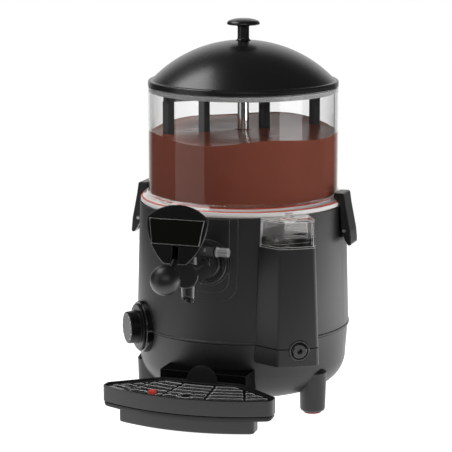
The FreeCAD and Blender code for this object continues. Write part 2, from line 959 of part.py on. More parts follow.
cap_stem = s.filler_radius - 0.3
cap = turned(
    "FillerCap",
    [
        (0, container_top - 3),
        (cap_stem, container_top - 3),
        (cap_stem, container_top),
        (s.cap_radius, container_top),
        (s.cap_radius, container_top + 1.6),
        (s.cap_radius - 3.5, container_top + 2.6),
        (s.cap_radius - 4.5, container_top + 6),
        (s.cap_radius - 4, container_top + 7.5),
        (0, container_top + 8),
    ],
)
node("water_filler_cap", place(cap, filler_x, filler_y))

drain_face = drain_depth + 0.4
socket_start = drain_depth - 10
socket = turned(
    "DrainSocket",
    [
        (s.plug_radius + 0.08, socket_start),
        (s.drain_radius, socket_start),
        (s.drain_radius, drain_face - 0.6),
        (s.drain_radius - 0.6, drain_face),
        (s.plug_radius + 1, drain_face),
        (s.plug_radius + 0.08, drain_face - 1),
    ],
)
node("drain_socket", place(socket, drain_back_x, drain_back_y, drain_height, s.drain_angle, 90))
plug = turned(
    "DrainPlug",
    [
        (0, socket_start),
        (s.plug_radius, socket_start),
        (s.plug_radius, drain_face - 1.2),
        (s.plug_radius - 2, drain_face + 1.2, 3),
        (3.4, drain_face + 1.2),
        (2.8, drain_face + 0.6),
        (2.8, drain_face - 4),
        (0, drain_face - 4),
    ],
)
node("drain_plug", place(plug, drain_back_x, drain_back_y, drain_height, s.drain_angle, 90))

# ---------------------------------------------------------------- product vessel, jacket, tube, heater
vessel_flange_low = ledge_top + 0.1
vessel_flange_top = vessel_flange_low + s.vessel_wall
vessel_outside = vessel_radius + s.vessel_wall
vessel_flat = vessel_radius - s.vessel_corner
vessel_shell = turned(
    "VesselShell",
    [
        (vessel_radius, vessel_flange_top),
        (vessel_flange, vessel_flange_top),
        (vessel_flange, vessel_flange_low),
        (vessel_outside, vessel_flange_low),
        (vessel_outside, vessel_bottom + s.vessel_corner),
        (vessel_flat, vessel_bottom - s.vessel_wall, -(s.vessel_corner + s.vessel_wall)),
        (s.tube_radius, vessel_bottom - s.vessel_wall),
        (s.tube_radius, vessel_bottom),
        (vessel_flat, vessel_bottom),
        (vessel_radius, vessel_bottom + s.vessel_corner, s.vessel_corner),
    ],
)
ferrule_radius = s.tap_shank + 5
ferrule_bore = s.tap_shank + 2.5
ferrule_end = tap_shank_end + 13
ferrule = cut(
    cylinder(ferrule_radius, ferrule_end - vessel_radius + 20, 0, 20 - vessel_radius, s.tap_height, 0, 90),
    cylinder(vessel_radius, ledge_bore, 0, 0, vessel_bottom - 10),
)
bore_run = 40.0
ferrule_hole = cylinder(ferrule_bore, bore_run, 0, bore_run / 2 - vessel_radius, s.tap_height, 0, 90)
node("product_vessel", cut(fused(vessel_shell, ferrule), ferrule_hole))

jacket_flange_top = ledge_top - s.shell_wall
jacket_flange_low = jacket_flange_top - s.vessel_wall
jacket_inside = jacket_radius - s.vessel_wall
jacket_shell = turned(
    "JacketShell",
    [
        (jacket_inside, jacket_flange_top),
        (ledge_bore + 3, jacket_flange_top),
        (ledge_bore + 3, jacket_flange_low),
        (jacket_radius, jacket_flange_low),
        (jacket_radius, jacket_bottom - s.vessel_wall),
        (s.tube_radius, jacket_bottom - s.vessel_wall),
        (s.tube_radius, jacket_bottom),
        (jacket_inside, jacket_bottom),
    ],
)
terminal_angles = (168, 192)
terminal_holes = []
terminals = []
for angle in terminal_angles:
    terminal_x, terminal_y = around(angle, heater_circle)
    terminal_low = jacket_bottom - s.terminal_length * 0.75
    terminals.append(cylinder(s.terminal_radius, s.terminal_length, terminal_x, terminal_y, terminal_low))
    hole_low = jacket_bottom - 2 * s.vessel_wall
    hole_radius = s.terminal_radius + 0.1
    terminal_holes.append(cylinder(hole_radius, 4 * s.vessel_wall, terminal_x, terminal_y, hole_low))
jacket_hole = cylinder(ferrule_radius + 0.1, bore_run, 0, bore_run / 2 - jacket_radius, s.tap_height, 0, 90)
node("water_jacket", cut(jacket_shell, jacket_hole, *terminal_holes))
heater_ring = torus(heater_circle, s.heater_radius, 0, 0, jacket_bottom + s.heater_radius)
node("heating_element", fused(heater_ring, *terminals))
node(
    "centre_tube",
    turned(
        "CentreTube",
        [
            (s.tube_bore, tube_bottom),
            (s.tube_radius, tube_bottom),
            (s.tube_radius, tube_top),
            (s.tube_bore, tube_top),
        ],
    ),
)
bush_bore = s.shaft_radius + s.running_gap
bush_flange = 2.0
node(
    "shaft_bush",
    turned(
        "ShaftBush",
        [
            (bush_bore, tube_top - 16),
            (s.tube_bore - 0.05, tube_top - 16),
            (s.tube_bore - 0.05, tube_top),
            (s.tube_radius, tube_top),
            (s.tube_radius, tube_top + bush_flange),
            (bush_bore, tube_top + bush_flange),
        ],
    ),
)

# Gear motor hung under the jacket by a plate and four spacers.
bracket_top = gearbox_top + 2.5
spacer_radius = 4.0
spacer_length = jacket_bottom - s.vessel_wall - bracket_top
spacers = []
for side_x in (-1, 1):
    for side_y in (-1, 1):
        spot_x = side_x * (s.bracket_half_x - 6)
        spot_y = side_y * (s.bracket_half_y - 6)
        spacers.append(cylinder(spacer_radius, spacer_length, spot_x, spot_y, bracket_top))
bracket_plate = cut(
    box(-s.bracket_half_x, s.bracket_half_x, -s.bracket_half_y, s.bracket_half_y, gearbox_top, bracket_top),
    cylinder(s.output_boss + 0.2, 10, 0, 0, gearbox_top - 3),
)
node("motor_bracket", fused(bracket_plate, *spacers))
gearbox_low = gearbox_top - s.gearbox_height
gearbox = box(
    -s.gearbox_half_x,
    s.gearbox_half_x,
    -s.gearbox_half_y,
    s.gearbox_half_y,
    gearbox_low,
    gearbox_top,
)
motor_can = cylinder(s.motor_radius, gearbox_low - s.motor_bottom, 0, 0, s.motor_bottom)
output_boss = cylinder(s.output_boss, 6, 0, 0, gearbox_top)
shaft_bottom = gearbox_top - s.shaft_depth
motor_bore = cylinder(bush_bore, s.shaft_depth + 10, 0, 0, shaft_bottom - 0.4)
node("gear_motor", cut(fused(gearbox, motor_can, output_boss), motor_bore))

# ---------------------------------------------------------------- mixer
hub_socket_top = hub_bottom + s.hub_height - 3
node(
    "drive_shaft",
    turned(
        "DriveShaft",
        [
            (0, shaft_bottom),
            (s.shaft_radius, shaft_bottom),
            (s.shaft_radius, hub_socket_top - 1.2),
            (s.shaft_radius - 1, hub_socket_top - 0.2),
            (0, hub_socket_top - 0.2),
        ],
    ),
)
node(
    "mixer_hub",
    turned(
        "MixerHub",
        [
            (s.shaft_radius, hub_bottom),
            (s.hub_radius, hub_bottom),
            (s.hub_radius, hub_bottom + s.hub_height - 3),
            (s.hub_radius - 3, hub_bottom + s.hub_height, 3),
            (0, hub_bottom + s.hub_height),
            (0, hub_socket_top),
            (s.shaft_radius, hub_socket_top),
        ],
    ),
)


def round_bar(inner, outer, width, low, height):
    """A flat bar along +X from inner to outer, with a round end beyond."""
    half = width / 2
    outline = [(inner, -half), (outer, -half), (outer + half, 0, half), (outer, half, half), (inner, half)]
    return padded("Bar", "XY_Plane", [outline], low, height)


arm_tip = s.outer_blade
top_arms = []
foot_arms = []
foot_height = 3.5
for turn_angle in (s.mixer_angle, s.mixer_angle + 180):
    top_arms.append(place(round_bar(0, arm_tip, s.arm_width, arm_bottom, s.arm_height), 0, 0, 0, turn_angle))
    foot_arm = round_bar(0, arm_tip, s.arm_width - 3, blade_bottom, foot_height)
    foot_arms.append(place(foot_arm, 0, 0, 0, turn_angle))
foot_hoop = cylinder(s.mixer_foot_ring, foot_height, 0, 0, blade_bottom)
node("mixer_arms", cut(fused(*top_arms), cylinder(s.hub_radius, s.arm_height + 2, 0, 0, arm_bottom - 1)))
foot_bore = cylinder(s.tube_radius + 1.5, foot_height + 2, 0, 0, blade_bottom - 1)
node("mixer_foot", cut(fused(foot_hoop, *foot_arms), foot_bore))


def blade(distance):
    """One upright blade of the mixer at a signed distance along the arms."""
    half_width = s.blade_width / 2
    half_thick = s.blade_thickness / 2
    edge = 0.8
    outline = [
        (-half_width, -edge),
        (0, -half_thick),
        (half_width, -edge),
        (half_width, edge),
        (0, half_thick),
        (-half_width, edge),
    ]
    low = blade_bottom + foot_height
    body = padded("Blade", "XY_Plane", [outline], low, arm_bottom - low)
    x = distance * cosine(s.mixer_angle)
    y = distance * sine(s.mixer_angle)
    return place(body, x, y, 0, s.mixer_angle + 90 + s.blade_twist)


node(
    "mixer_blades",
    group(
        blade(s.outer_blade),
        blade(s.long_side_blade),
        blade(-s.short_side_blade),
        blade(-s.outer_blade),
    ),
)

# ---------------------------------------------------------------- gasket, bowl and lid
bowl_bore = bowl_radius - s.bowl_wall
gasket_top = vessel_flange_top + s.gasket_thickness
node(
    "bowl_gasket",
    turned(
        "BowlGasket",
        [
            (gasket_inner, vessel_flange_top),
            (gasket_outer, vessel_flange_top),
            (gasket_outer, gasket_top),
            (gasket_inner, gasket_top),
        ],
    ),
)
groove_gap = 0.3
cove = 2.6
node(
    "bowl",
    turned(
        "Bowl",
        [
            (bowl_bore, flange_bottom),
            (gasket_inner - groove_gap, flange_bottom),
            (gasket_inner - groove_gap, gasket_top + groove_gap),
            (gasket_outer + groove_gap, gasket_top + groove_gap),
            (gasket_outer + groove_gap, flange_bottom),
            (flange_radius - 0.8, flange_bottom),
            (flange_radius, flange_bottom + 0.8, 0.8),
            (flange_radius, flange_edge_top - 1),
            (flange_radius - 1.3, flange_edge_top + 0.4, 1.4),
            (bowl_radius + cove, flange_top),
            (bowl_radius, flange_top + cove, -cove),
            (bowl_radius, bowl_top - 0.8),
            (bowl_radius - 0.8, bowl_top, 0.8),
            (bowl_bore + 0.8, bowl_top),
            (bowl_bore, bowl_top - 0.8, 0.8),
        ],
    ),
)

bead_low = bowl_top + s.lid_gap
bead_top = bead_low + s.lid_bead_height
skirt_radius = bowl_bore - 0.5
skirt_inside = skirt_radius - s.lid_wall
dome_inner_radius = s.lid_dome_radius - s.lid_wall
dome_centre = bead_top - root(s.lid_dome_radius * s.lid_dome_radius - lid_dome_edge * lid_dome_edge)
screw_bore = 2.4


def dome_height(radius, distance):
    """Height of the lid's dome at a distance from the axis."""
    return dome_centre + root(radius * radius - distance * distance)


lid_rim = turned(
    "LidRim",
    [
        (0, bead_low - s.lid_skirt_depth),
        (skirt_radius, bead_low - s.lid_skirt_depth),
        (skirt_radius, bead_low),
        (lid_bead_radius - 1, bead_low),
        (lid_bead_radius, bead_low + 1, 1),
        (lid_bead_radius, bead_top - 2.4),
        (lid_bead_radius - 2.4, bead_top, 2.4),
        (0, bead_top),
    ],
)
lid_dome = common(
    sphere(s.lid_dome_radius, dome_centre),
    cylinder(lid_dome_edge, s.lid_dome_radius, 0, 0, bead_top - 1),
)
lid_hollow = common(
    sphere(dome_inner_radius, dome_centre),
    cylinder(skirt_inside, s.lid_dome_radius, 0, 0, bead_low - s.lid_skirt_depth - 1),
)
lid_screw_hole = cylinder(screw_bore, 20, 0, 0, dome_centre + dome_inner_radius - 10)
node("lid", cut(fused(lid_rim, lid_dome), lid_hollow, lid_screw_hole))
dome_top = dome_height(s.lid_dome_radius, s.knob_post_radius + 2)
knob_top = dome_top + s.knob_height
knob_low = knob_top - s.knob_cap
node(
    "lid_knob",
    turned(
        "LidKnob",
        [
            (2, dome_top + 0.3),
            (s.knob_post_radius + 2, dome_top + 0.3),
            (s.knob_post_radius, dome_top + 3, -4),
            (s.knob_post_radius, knob_low - 2),
            (s.knob_post_radius + 3, knob_low, -4),
            (s.knob_radius - 1.5, knob_low + 0.5),
            (s.knob_radius, knob_low + 2, 1.6),
            (s.knob_radius - 3, knob_top - 2.4, 4.5),
            (8, knob_top - 0.2, 40),
            (0, knob_top),
            (0, knob_low),
            (2, knob_low),
        ],
    ),
)
knob_screw_seat = dome_height(dome_inner_radius, screw_bore) - 0.4
node(
    "knob_screw",
    turned(
        "KnobScrew",
        [
            (0, knob_screw_seat - 2.6),
            (3.4, knob_screw_seat - 2.6),
            (4.6, knob_screw_seat - 1.4, 1.6),
            (4.6, knob_screw_seat),
            (1.9, knob_screw_seat),
            (1.9, knob_low - 1),
            (0, knob_low - 1),
        ],
    ),
)

# ---------------------------------------------------------------- tap body on the front of the housing
def half_round(centre, height, radius):
    """The upper half of a round end, as two quarter arcs, going from the right to the left."""
    return [(centre + radius, height), (centre, height + radius, radius), (centre - radius, height, radius)]


barrel_flange = s.barrel_radius + 4.5
collar_start = tap_face + 18
barrel = turned(
    "Barrel",
    [
        (0, tap_shank_end),
        (s.tap_shank, tap_shank_end),
        (s.tap_shank, tap_face),
        (barrel_flange, tap_face),
        (barrel_flange, tap_face + 3),
        (s.barrel_radius - 1, tap_face + 3),
        (s.barrel_radius - 1, collar_start),
        (s.barrel_radius, collar_start + 1, 1),
        (s.barrel_radius, barrel_end - 1.5),
        (s.barrel_radius - 1.5, barrel_end, 1.5),
        (0, barrel_end),
    ],
)
place(barrel, 0, 0, s.tap_height, 0, 90)
spout_y = -spout_reach
pivot_y = -pivot_reach
spout_length = s.tap_height - spout_tip
spout = cone(s.spout_tip_radius, s.spout_top_radius, spout_length, 0, spout_y, spout_tip)
mouth_slope = (spout_mouth - spout_tip) / (2 * s.spout_tip_radius)
mouth_back = spout_y + s.spout_tip_radius
mouth_front = spout_y - s.spout_tip_radius
mouth_cutter = padded(
    "MouthCutter",
    "YZ_Plane",
    [
        [
            (mouth_back + 2, spout_tip - mouth_slope * 2),
            (mouth_front - 4, spout_mouth + mouth_slope * 4),
            (mouth_front - 4, spout_tip - 6),
            (mouth_back + 2, spout_tip - 6),
        ]
    ],
    -20,
    40,
)
pivot_height = s.tap_height + s.pivot_rise
cross_pin_height = pivot_height + s.cross_pin_rise
tower_top = cross_pin_height + s.tower_rise
tower = cylinder(s.tower_radius, tower_top - s.tap_height, 0, spout_y, s.tap_height)
ear_radius = 7.0
ear_gap = 0.8
ear_outer = s.arm_inner_x - ear_gap
ear_width = 6.0
ear_outline = [(pivot_y - ear_radius, s.tap_height), (pivot_y + ear_radius, s.tap_height)]
ear_outline += half_round(pivot_y, pivot_height, ear_radius)
ears = [
    padded("Ear", "YZ_Plane", [ear_outline], ear_outer - ear_width, ear_width),
    padded("Ear", "YZ_Plane", [ear_outline], -ear_outer, ear_width),
]
plunger_bore = s.plunger_radius + s.running_gap
seat_height = s.tap_height - s.barrel_radius + 3.5
bore_end = barrel_end - 5
pin_slack = 0.35
cross_pin_slot = box(
    -s.tower_radius - 1,
    s.tower_radius + 1,
    spout_y - s.cross_pin_radius - pin_slack,
    spout_y + s.cross_pin_radius + pin_slack,
    cross_pin_height - s.cross_pin_radius - pin_slack,
    cross_pin_height + s.cross_pin_radius + s.plunger_stroke + pin_slack,
)
node(
    "tap_body",
    cut(
        fused(barrel, cut(spout, mouth_cutter), tower, *ears),
        cylinder(s.barrel_bore, bore_end - tap_shank_end + 1, 0, 1 - tap_shank_end, s.tap_height, 0, 90),
        cylinder(plunger_bore, tower_top - seat_height + 1, 0, spout_y, seat_height),
        cylinder(s.spout_bore, seat_height - spout_tip + 2, 0, spout_y, spout_tip - 1),
        cross_pin_slot,
        cylinder(s.pivot_radius, 2 * s.arm_inner_x, -s.arm_inner_x, pivot_y, pivot_height, 90, 90),
    ),
)
ring_face = tap_face + s.ring_depth
ring = turned(
    "TapRing",
    [
        (barrel_flange + 0.2, tap_face),
        (s.ring_radius, tap_face),
        (s.ring_radius, ring_face - 1.6),
        (s.ring_radius - 1.6, ring_face, 1.6),
        (s.ring_radius - 3.4, ring_face),
        (s.ring_radius - 4.4, ring_face - 1.8),
        (s.barrel_radius + 1.4, ring_face - 1.8),
        (s.barrel_radius + 0.4, ring_face - 0.8),
        (s.barrel_radius - 0.7, ring_face - 0.8),
        (s.barrel_radius - 0.7, tap_face + 3.2),
        (barrel_flange + 0.2, tap_face + 3.2),
    ],
)
node("tap_ring", place(ring, 0, 0, s.tap_height, 0, 90))
seal = turned(
    "TapSeal",
    [
        (s.tap_shank + 0.05, tap_shank_end),
        (ferrule_bore - 0.05, tap_shank_end),
        (ferrule_bore - 0.05, ferrule_end - 1),
        (s.tap_shank + 0.05, ferrule_end - 1),
    ],
)
node("tap_seal", place(seal, 0, 0, s.tap_height, 0, 90))

# Plunger that stops the spout, its two O-rings, cross pin, spring and the cap over them.
groove_half = 1.1
groove_depth = 1.7
plunger_collar_top = cross_pin_height + 4
plunger_rings = (s.tap_height, s.tap_height + s.plunger_stroke)
plunger_profile = [
    (0, seat_height + 0.3),
    (s.spout_bore - 1.2, seat_height + 0.3),
    (s.plunger_radius, seat_height + 3.5),
]
for ring_height in plunger_rings:
    plunger_profile += [
        (s.plunger_radius, ring_height - groove_half),
        (s.plunger_radius - groove_depth, ring_height - groove_half),
        (s.plunger_radius - groove_depth, ring_height + groove_half),
        (s.plunger_radius, ring_height + groove_half),
    ]
plunger_profile += [
    (s.plunger_radius, plunger_collar_top),
    (3, plunger_collar_top),
    (3, plunger_collar_top + 5),
    (0, plunger_collar_top + 5),
]
cross_pin_half = s.arm_inner_x + s.arm_plate - 0.2


def cross_pin_rod():
    return cylinder(s.cross_pin_radius, 2 * cross_pin_half, -cross_pin_half, spout_y, cross_pin_height, 90, 90)


node("tap_plunger", cut(place(turned("Plunger", plunger_profile), 0, spout_y), cross_pin_rod()))
node("cross_pin", cross_pin_rod())
ring_circle = s.plunger_radius - 0.85
node("plunger_orings", group(*[torus(ring_circle, 0.8, 0, spout_y, height) for height in plunger_rings]))
spring_cap = turned(
    "SpringCap",
    [
        (0, tower_top),
        (s.tower_radius, tower_top),
        (s.tower_radius, tower_top + 3),
        (s.tower_radius - 1, tower_top + 4, 1),
        (0, tower_top + 4),
    ],
)
node("spring_cap", place(spring_cap, 0, spout_y))

# The return spring is a swept helix, which no primitive gives, so its shape is made directly.
spring_wire = 0.8
spring_turns = 6
spring_low = plunger_collar_top.value + spring_wire + 0.2
spring_high = value_of(tower_top) - spring_wire - 0.2
spring_circle = (s.plunger_radius.value + 3) / 2 + 0.3
helix = Part.makeHelix((spring_high - spring_low) / spring_turns, spring_high - spring_low, spring_circle)
section = Part.Wire(
    Part.makeCircle(spring_wire, FreeCAD.Vector(spring_circle, 0, 0), FreeCAD.Vector(0, 1, 0))
)
coil = Part.Wire(helix.Edges).makePipeShell([section], True, True)
spring = doc.addObject("Part::Feature", "PlungerSpring")
spring.Shape = coil
place(spring, 0, spout_y, spring_low)
node("plunger_spring", spring)

# Pull-out pivot pin with a fluted grip on its right-hand end.
pin_left = -(s.arm_inner_x + s.arm_plate + 4)
pin_shoulder = s.arm_inner_x + s.arm_plate + 0.6
grip_start = pin_shoulder + 2
grip_end = grip_start + 13.5
grip_radius = 5.3
pin_body = turned(
    "TapPin",
    [
        (0, 0),
        (s.pivot_radius + 1.5, 0),
        (s.pivot_radius + 2, 0.5),
        (s.pivot_radius + 2, 3.2),
        (s.pivot_radius, 3.2),
        (s.pivot_radius, pin_shoulder - pin_left),
        (grip_radius + 0.8, pin_shoulder - pin_left),
        (grip_radius + 0.8, grip_start - pin_left - 0.4),
        (grip_radius, grip_start - pin_left),
        (grip_radius, grip_end - pin_left - 0.8),
        (grip_radius - 0.8, grip_end - pin_left),
        (0, grip_end - pin_left),
    ],
)
place(pin_body, pin_left, pivot_y, pivot_height, 90, 90)
flutes = []
flute_count = 10
for index in range(flute_count):
    turn_angle = 360 * index / flute_count
    flute_y = pivot_y + grip_radius * math.cos(math.radians(turn_angle))
    flute_z = pivot_height + grip_radius * math.sin(math.radians(turn_angle))
    flutes.append(cylinder(0.75, grip_end, grip_start + 1, flute_y, flute_z, 90, 90))
node("tap_pin", cut(pin_body, *flutes))

# ---------------------------------------------------------------- tap handle: shield, arms, badge and ball
shield_back_y = -(shield_foot_reach - s.shield_thickness)


def on_shield(t, behind=0):
    """Y and Z of a point up the back of the tilted shield, moved behind it by a distance."""
    y = shield_back_y + t * sine(s.shield_tilt) + behind
    return y, pivot_height + t * cosine(s.shield_tilt)


brow_t = s.shield_height * 0.77
brow_rise = s.shield_height - brow_t
foot_half = 13.0
side_radius = 65.0
brow_radius = (s.shield_half_width * s.shield_half_width + brow_rise * brow_rise) / (2 * brow_rise)
shield = padded(
    "Shield",
    "XZ_Plane",
    [
        [
            (-foot_half, 0, side_radius),
            (foot_half, 0),
            (s.shield_half_width, brow_t, side_radius),
            (-s.shield_half_width, brow_t, brow_radius),
        ]
    ],
    0,
    s.shield_thickness,
)
soften(shield, 4, lambda edge: edge.BoundBox.YLength > 3 and edge.BoundBox.ZMin > value_of(brow_t) - 1)
soften(shield, 1.2, lambda edge: edge.BoundBox.YMax < -value_of(s.shield_thickness) + 0.01)
place(shield, 0, shield_back_y, pivot_height, 0, -s.shield_tilt)
slot_cut = box(-4, 4, 1.8 - s.shield_thickness - 5, 1.8 - s.shield_thickness, 3.5, s.badge_bottom - 1)
slot_frame = doc.addObject("Part::Compound", "SlotFrame")
slot_frame.Links = [slot_cut]
place(slot_frame, 0, shield_back_y, pivot_height, 0, -s.shield_tilt)
arm_high = on_shield(s.shield_height * 0.55, -1)
arm_low = on_shield(s.shield_height * 0.15, -1)
arm_rise = s.pin_reach * 0.6
arm_outline = [
    (pivot_y, pivot_height - s.handle_hub_radius),
    (pivot_y + s.handle_hub_radius, pivot_height, s.handle_hub_radius),
    (pivot_y, pivot_height + s.handle_hub_radius, s.handle_hub_radius),
    (pivot_y - arm_rise, pivot_height + s.handle_hub_radius + 5.5),
    arm_high,
    arm_low,
]

# Where the cross pin stands in the arms once the handle has swung: the arms' slots run from its rest to there.
pin_lifted = s.cross_pin_rise + s.plunger_stroke
slot_run = s.pin_reach * cosine(s.handle_swing) + pin_lifted * sine(s.handle_swing) - s.pin_reach
slot_fall = s.cross_pin_rise - pin_lifted * cosine(s.handle_swing) + s.pin_reach * sine(s.handle_swing)
slot_length = root(slot_run * slot_run + slot_fall * slot_fall)
slot_radius = s.cross_pin_radius + pin_slack
along_y = -slot_run / slot_length * slot_radius
along_z = -slot_fall / slot_length * slot_radius
slot_end_y = spout_y - slot_run
slot_end_z = cross_pin_height - slot_fall
pin_slot_outline = [
    (spout_y + along_z, cross_pin_height - along_y, slot_radius),
    (slot_end_y + along_z, slot_end_z - along_y),
    (slot_end_y + along_y, slot_end_z + along_z, slot_radius),
    (slot_end_y - along_z, slot_end_z + along_y, slot_radius),
    (spout_y - along_z, cross_pin_height + along_y),
    (spout_y - along_y, cross_pin_height - along_z, slot_radius),
]
arm_outer = s.arm_inner_x + s.arm_plate
arm_plates = [
    padded("Arm", "YZ_Plane", [arm_outline], s.arm_inner_x, s.arm_plate),
    padded("Arm", "YZ_Plane", [arm_outline], -arm_outer, s.arm_plate),
]
neck_y = -(ball_reach - s.neck_length * cosine(s.neck_angle))
ball_height = pivot_height - s.ball_drop
neck_z = ball_height + s.neck_length * sine(s.neck_angle)
neck_reach = s.neck_length - 6


def neck_rod(radius):
    return cylinder(radius, neck_reach, 0, neck_y, neck_z, 0, 90 + s.neck_angle)


arm_span = 2 * arm_outer + 2
pivot_bore = s.pivot_radius + s.running_gap
node(
    "tap_handle",
    cut(
        fused(cut(shield, slot_frame), *arm_plates, neck_rod(s.neck_radius)),
        padded("PinSlot", "YZ_Plane", [pin_slot_outline], -arm_outer - 1, arm_span),
        cylinder(pivot_bore, arm_span, -arm_outer - 1, pivot_y, pivot_height, 90, 90),
    ),
)
badge_half_low = 28.0
badge_half_high = s.shield_half_width - 3.4
badge = padded(
    "Badge",
    "XZ_Plane",
    [
        [
            (-badge_half_low, s.badge_bottom),
            (badge_half_low, s.badge_bottom),
            (badge_half_high, s.badge_bottom + s.badge_height),
            (-badge_half_high, s.badge_bottom + s.badge_height),
        ]
    ],
    s.shield_thickness,
    s.badge_thickness,
)
soften(badge, 0.6, lambda edge: edge.BoundBox.YMax < -value_of(s.shield_thickness + s.badge_thickness) + 0.01)
node("badge_plate", place(badge, 0, shield_back_y, pivot_height, 0, -s.shield_tilt))
ball = doc.addObject("Part::Sphere", "Ball")
bind(ball, "Radius", s.ball_radius)
place(ball, 0, -ball_reach, ball_height)
node("handle_ball", cut(ball, neck_rod(s.neck_radius)))

# ---------------------------------------------------------------- thermostat and its dial
dial_shaft = 3.0
bezel_back = bezel_face - 20
bezel_plate = bezel_face - 2.5
bezel = turned(
    "DialBezel",
    [
        (dial_shaft + s.running_gap, bezel_plate),
        (s.bezel_radius - 2.6, bezel_plate),
        (s.bezel_radius - 2.6, bezel_back),
        (s.bezel_radius, bezel_back),
        (s.bezel_radius, bezel_face),
        (s.bezel_radius - 1, bezel_face + 1, 1),
        (s.bezel_radius - 2, bezel_face + 1),
        (s.bezel_radius - 2.8, bezel_face),
        (dial_shaft + s.running_gap, bezel_face),
    ],
)
node("dial_bezel", place(bezel, 0, 0, dial_height, -s.dial_angle, 90))
shaft_end = bezel_back - 1
thermostat = turned(
    "Thermostat",
    [
        (0, bezel_back - s.thermostat_depth),
        (s.thermostat_radius, bezel_back - s.thermostat_depth),
        (s.thermostat_radius, bezel_plate),
        (dial_shaft + s.running_gap, bezel_plate),
        (dial_shaft + s.running_gap, shaft_end - 0.4),
        (0, shaft_end - 0.4),
    ],
)
node("thermostat_body", place(thermostat, 0, 0, dial_height, -s.dial_angle, 90))
skirt_low = bezel_face + 1.3
knob = turned(
    "DialKnob",
    [
        (0, shaft_end),
        (dial_shaft, shaft_end),
        (dial_shaft, skirt_low),
        (s.dial_skirt_radius, skirt_low),
        (s.dial_skirt_radius, skirt_low + 1.6),
        (s.dial_skirt_radius - 1, skirt_low + 2.6, 1),
        (s.dial_grip_radius + 1, skirt_low + 3),
        (s.dial_grip_radius, skirt_low + 4, -1),
        (s.dial_grip_radius - 0.6, dial_end - 1.4),
        (s.dial_grip_radius - 2, dial_end, 1.4),
        (0, dial_end),
    ],
)
node("dial_knob", place(knob, 0, 0, dial_height, -s.dial_angle, 90))

# ---------------------------------------------------------------- clips that hold the bowl down
clip_pivot_x = s.housing_top_radius + s.clip_stand
clip_pivot_height = flange_top - s.clip_drop
clip_top = flange_top + s.clip_cap
clip_low = clip_pivot_height - s.clip_tail
clip_reach = clip_pivot_x + s.clip_depth
clip_hook = flange_radius - s.clip_grip
clip_throat = s.housing_top_radius + 0.6
clip_rise = clip_top - clip_pivot_height
clip_half = s.clip_width / 2
bracket_half = clip_half - s.clip_cheek
clip_outline = [
    (clip_reach - 1.8, clip_low),
    (clip_reach, clip_low + 2, 2),
    (clip_reach - 1.5, clip_pivot_height),
    (clip_reach - 7.7, clip_top - clip_rise * 0.31),
    (clip_reach - 9.3, clip_top - 3),
    (clip_reach - 12.3, clip_top, 3.1),
    (clip_hook + 0.6, clip_top),
    (clip_hook, clip_top - 0.8),
    (clip_hook, flange_top - 1),
    (flange_radius - 1, flange_edge_top + 0.9),
    (clip_throat, flange_edge_top - 0.8),
    (clip_throat + 0.3, clip_pivot_height + clip_rise * 0.42),
    (clip_pivot_x - 3, clip_pivot_height + 3),
    (clip_pivot_x - 1.2, clip_pivot_height - 6),
    (clip_pivot_x + 1.6, clip_pivot_height - s.clip_tail * 0.7),
    (clip_reach - 3.6, clip_low),
]
bracket_drop = s.clip_tail * 0.54
bracket_rise = clip_rise * 0.24
bracket_outline = [
    (ledge_bore, clip_pivot_height - bracket_drop),
    (clip_pivot_x - 3, clip_pivot_height - bracket_drop),
    (clip_pivot_x, clip_pivot_height - s.clip_nose),
    (clip_pivot_x + s.clip_nose, clip_pivot_height, s.clip_nose),
    (clip_pivot_x, clip_pivot_height + s.clip_nose, s.clip_nose),
    (clip_pivot_x - 3, clip_pivot_height + bracket_rise),
    (ledge_bore, clip_pivot_height + bracket_rise),
]
pocket_wall = s.clip_depth - 3.7
pocket_outline = [
    (ledge_bore, clip_pivot_height - bracket_drop - 4.5),
    (clip_pivot_x + pocket_wall + 0.3, clip_pivot_height - bracket_drop - 4.5),
    (clip_pivot_x + pocket_wall, clip_pivot_height),
    (clip_pivot_x + pocket_wall - 3, clip_pivot_height + bracket_rise + 3.7),
    (ledge_bore, clip_pivot_height + bracket_rise + 3.7),
]


def clip_pin(radius, length):
    """A rod through the right-hand clip's pivot, from its rear face forward."""
    return cylinder(radius, length, clip_pivot_x, length / 2, clip_pivot_height, 0, 90)


brackets = []
clip_pins = []
for label, turn_angle in (("right_clip_lever", 0), ("left_clip_lever", 180)):
    lever = cut(
        padded("Lever", "XZ_Plane", [clip_outline], -clip_half, s.clip_width),
        padded("Pocket", "XZ_Plane", [pocket_outline], -bracket_half - 0.4, 2 * bracket_half + 0.8),
        clip_pin(s.clip_pin_radius + s.running_gap, s.clip_width + 2),
    )
    node(label, place(lever, 0, 0, 0, turn_angle))
    block = padded("Bracket", "XZ_Plane", [bracket_outline], -bracket_half, 2 * bracket_half)
    block_cut = cut(block, beyond_housing(0.02), clip_pin(s.clip_pin_radius, s.clip_width))
    brackets.append(place(block_cut, 0, 0, 0, turn_angle))
    clip_pins.append(place(group(clip_pin(s.clip_pin_radius, s.clip_width + 2)), 0, 0, 0, turn_angle))
node("clip_brackets", group(*brackets))
node("clip_pins", group(*clip_pins))


# ---------------------------------------------------------------- drip tray, grid, float and support
tray_half = s.tray_half_width
tray_shoulder_y = s.tray_shoulder - root(s.tray_front_radius * s.tray_front_radius - tray_half * tray_half)


def tray_outline(inset):
    """The tray's plan, moved in by a distance: an arc in front, then shoulders drawn in to the back."""
    half = s.tray_half_width - inset
    front = s.tray_front_radius - inset
    corner_y = -root(front * front - half * half)
    drawn = inset * 0.6
    right = [
        (half - 1, tray_shoulder_y - drawn * 0.2),
        (s.tray_neck_x - drawn, -tray_neck_y - inset),
        (s.tray_back_x - drawn, -tray_back_y - inset),
    ]
    left = [(-x, y) for x, y in reversed(right)]
    return [(-half, corner_y), (half, corner_y, front)] + right + left


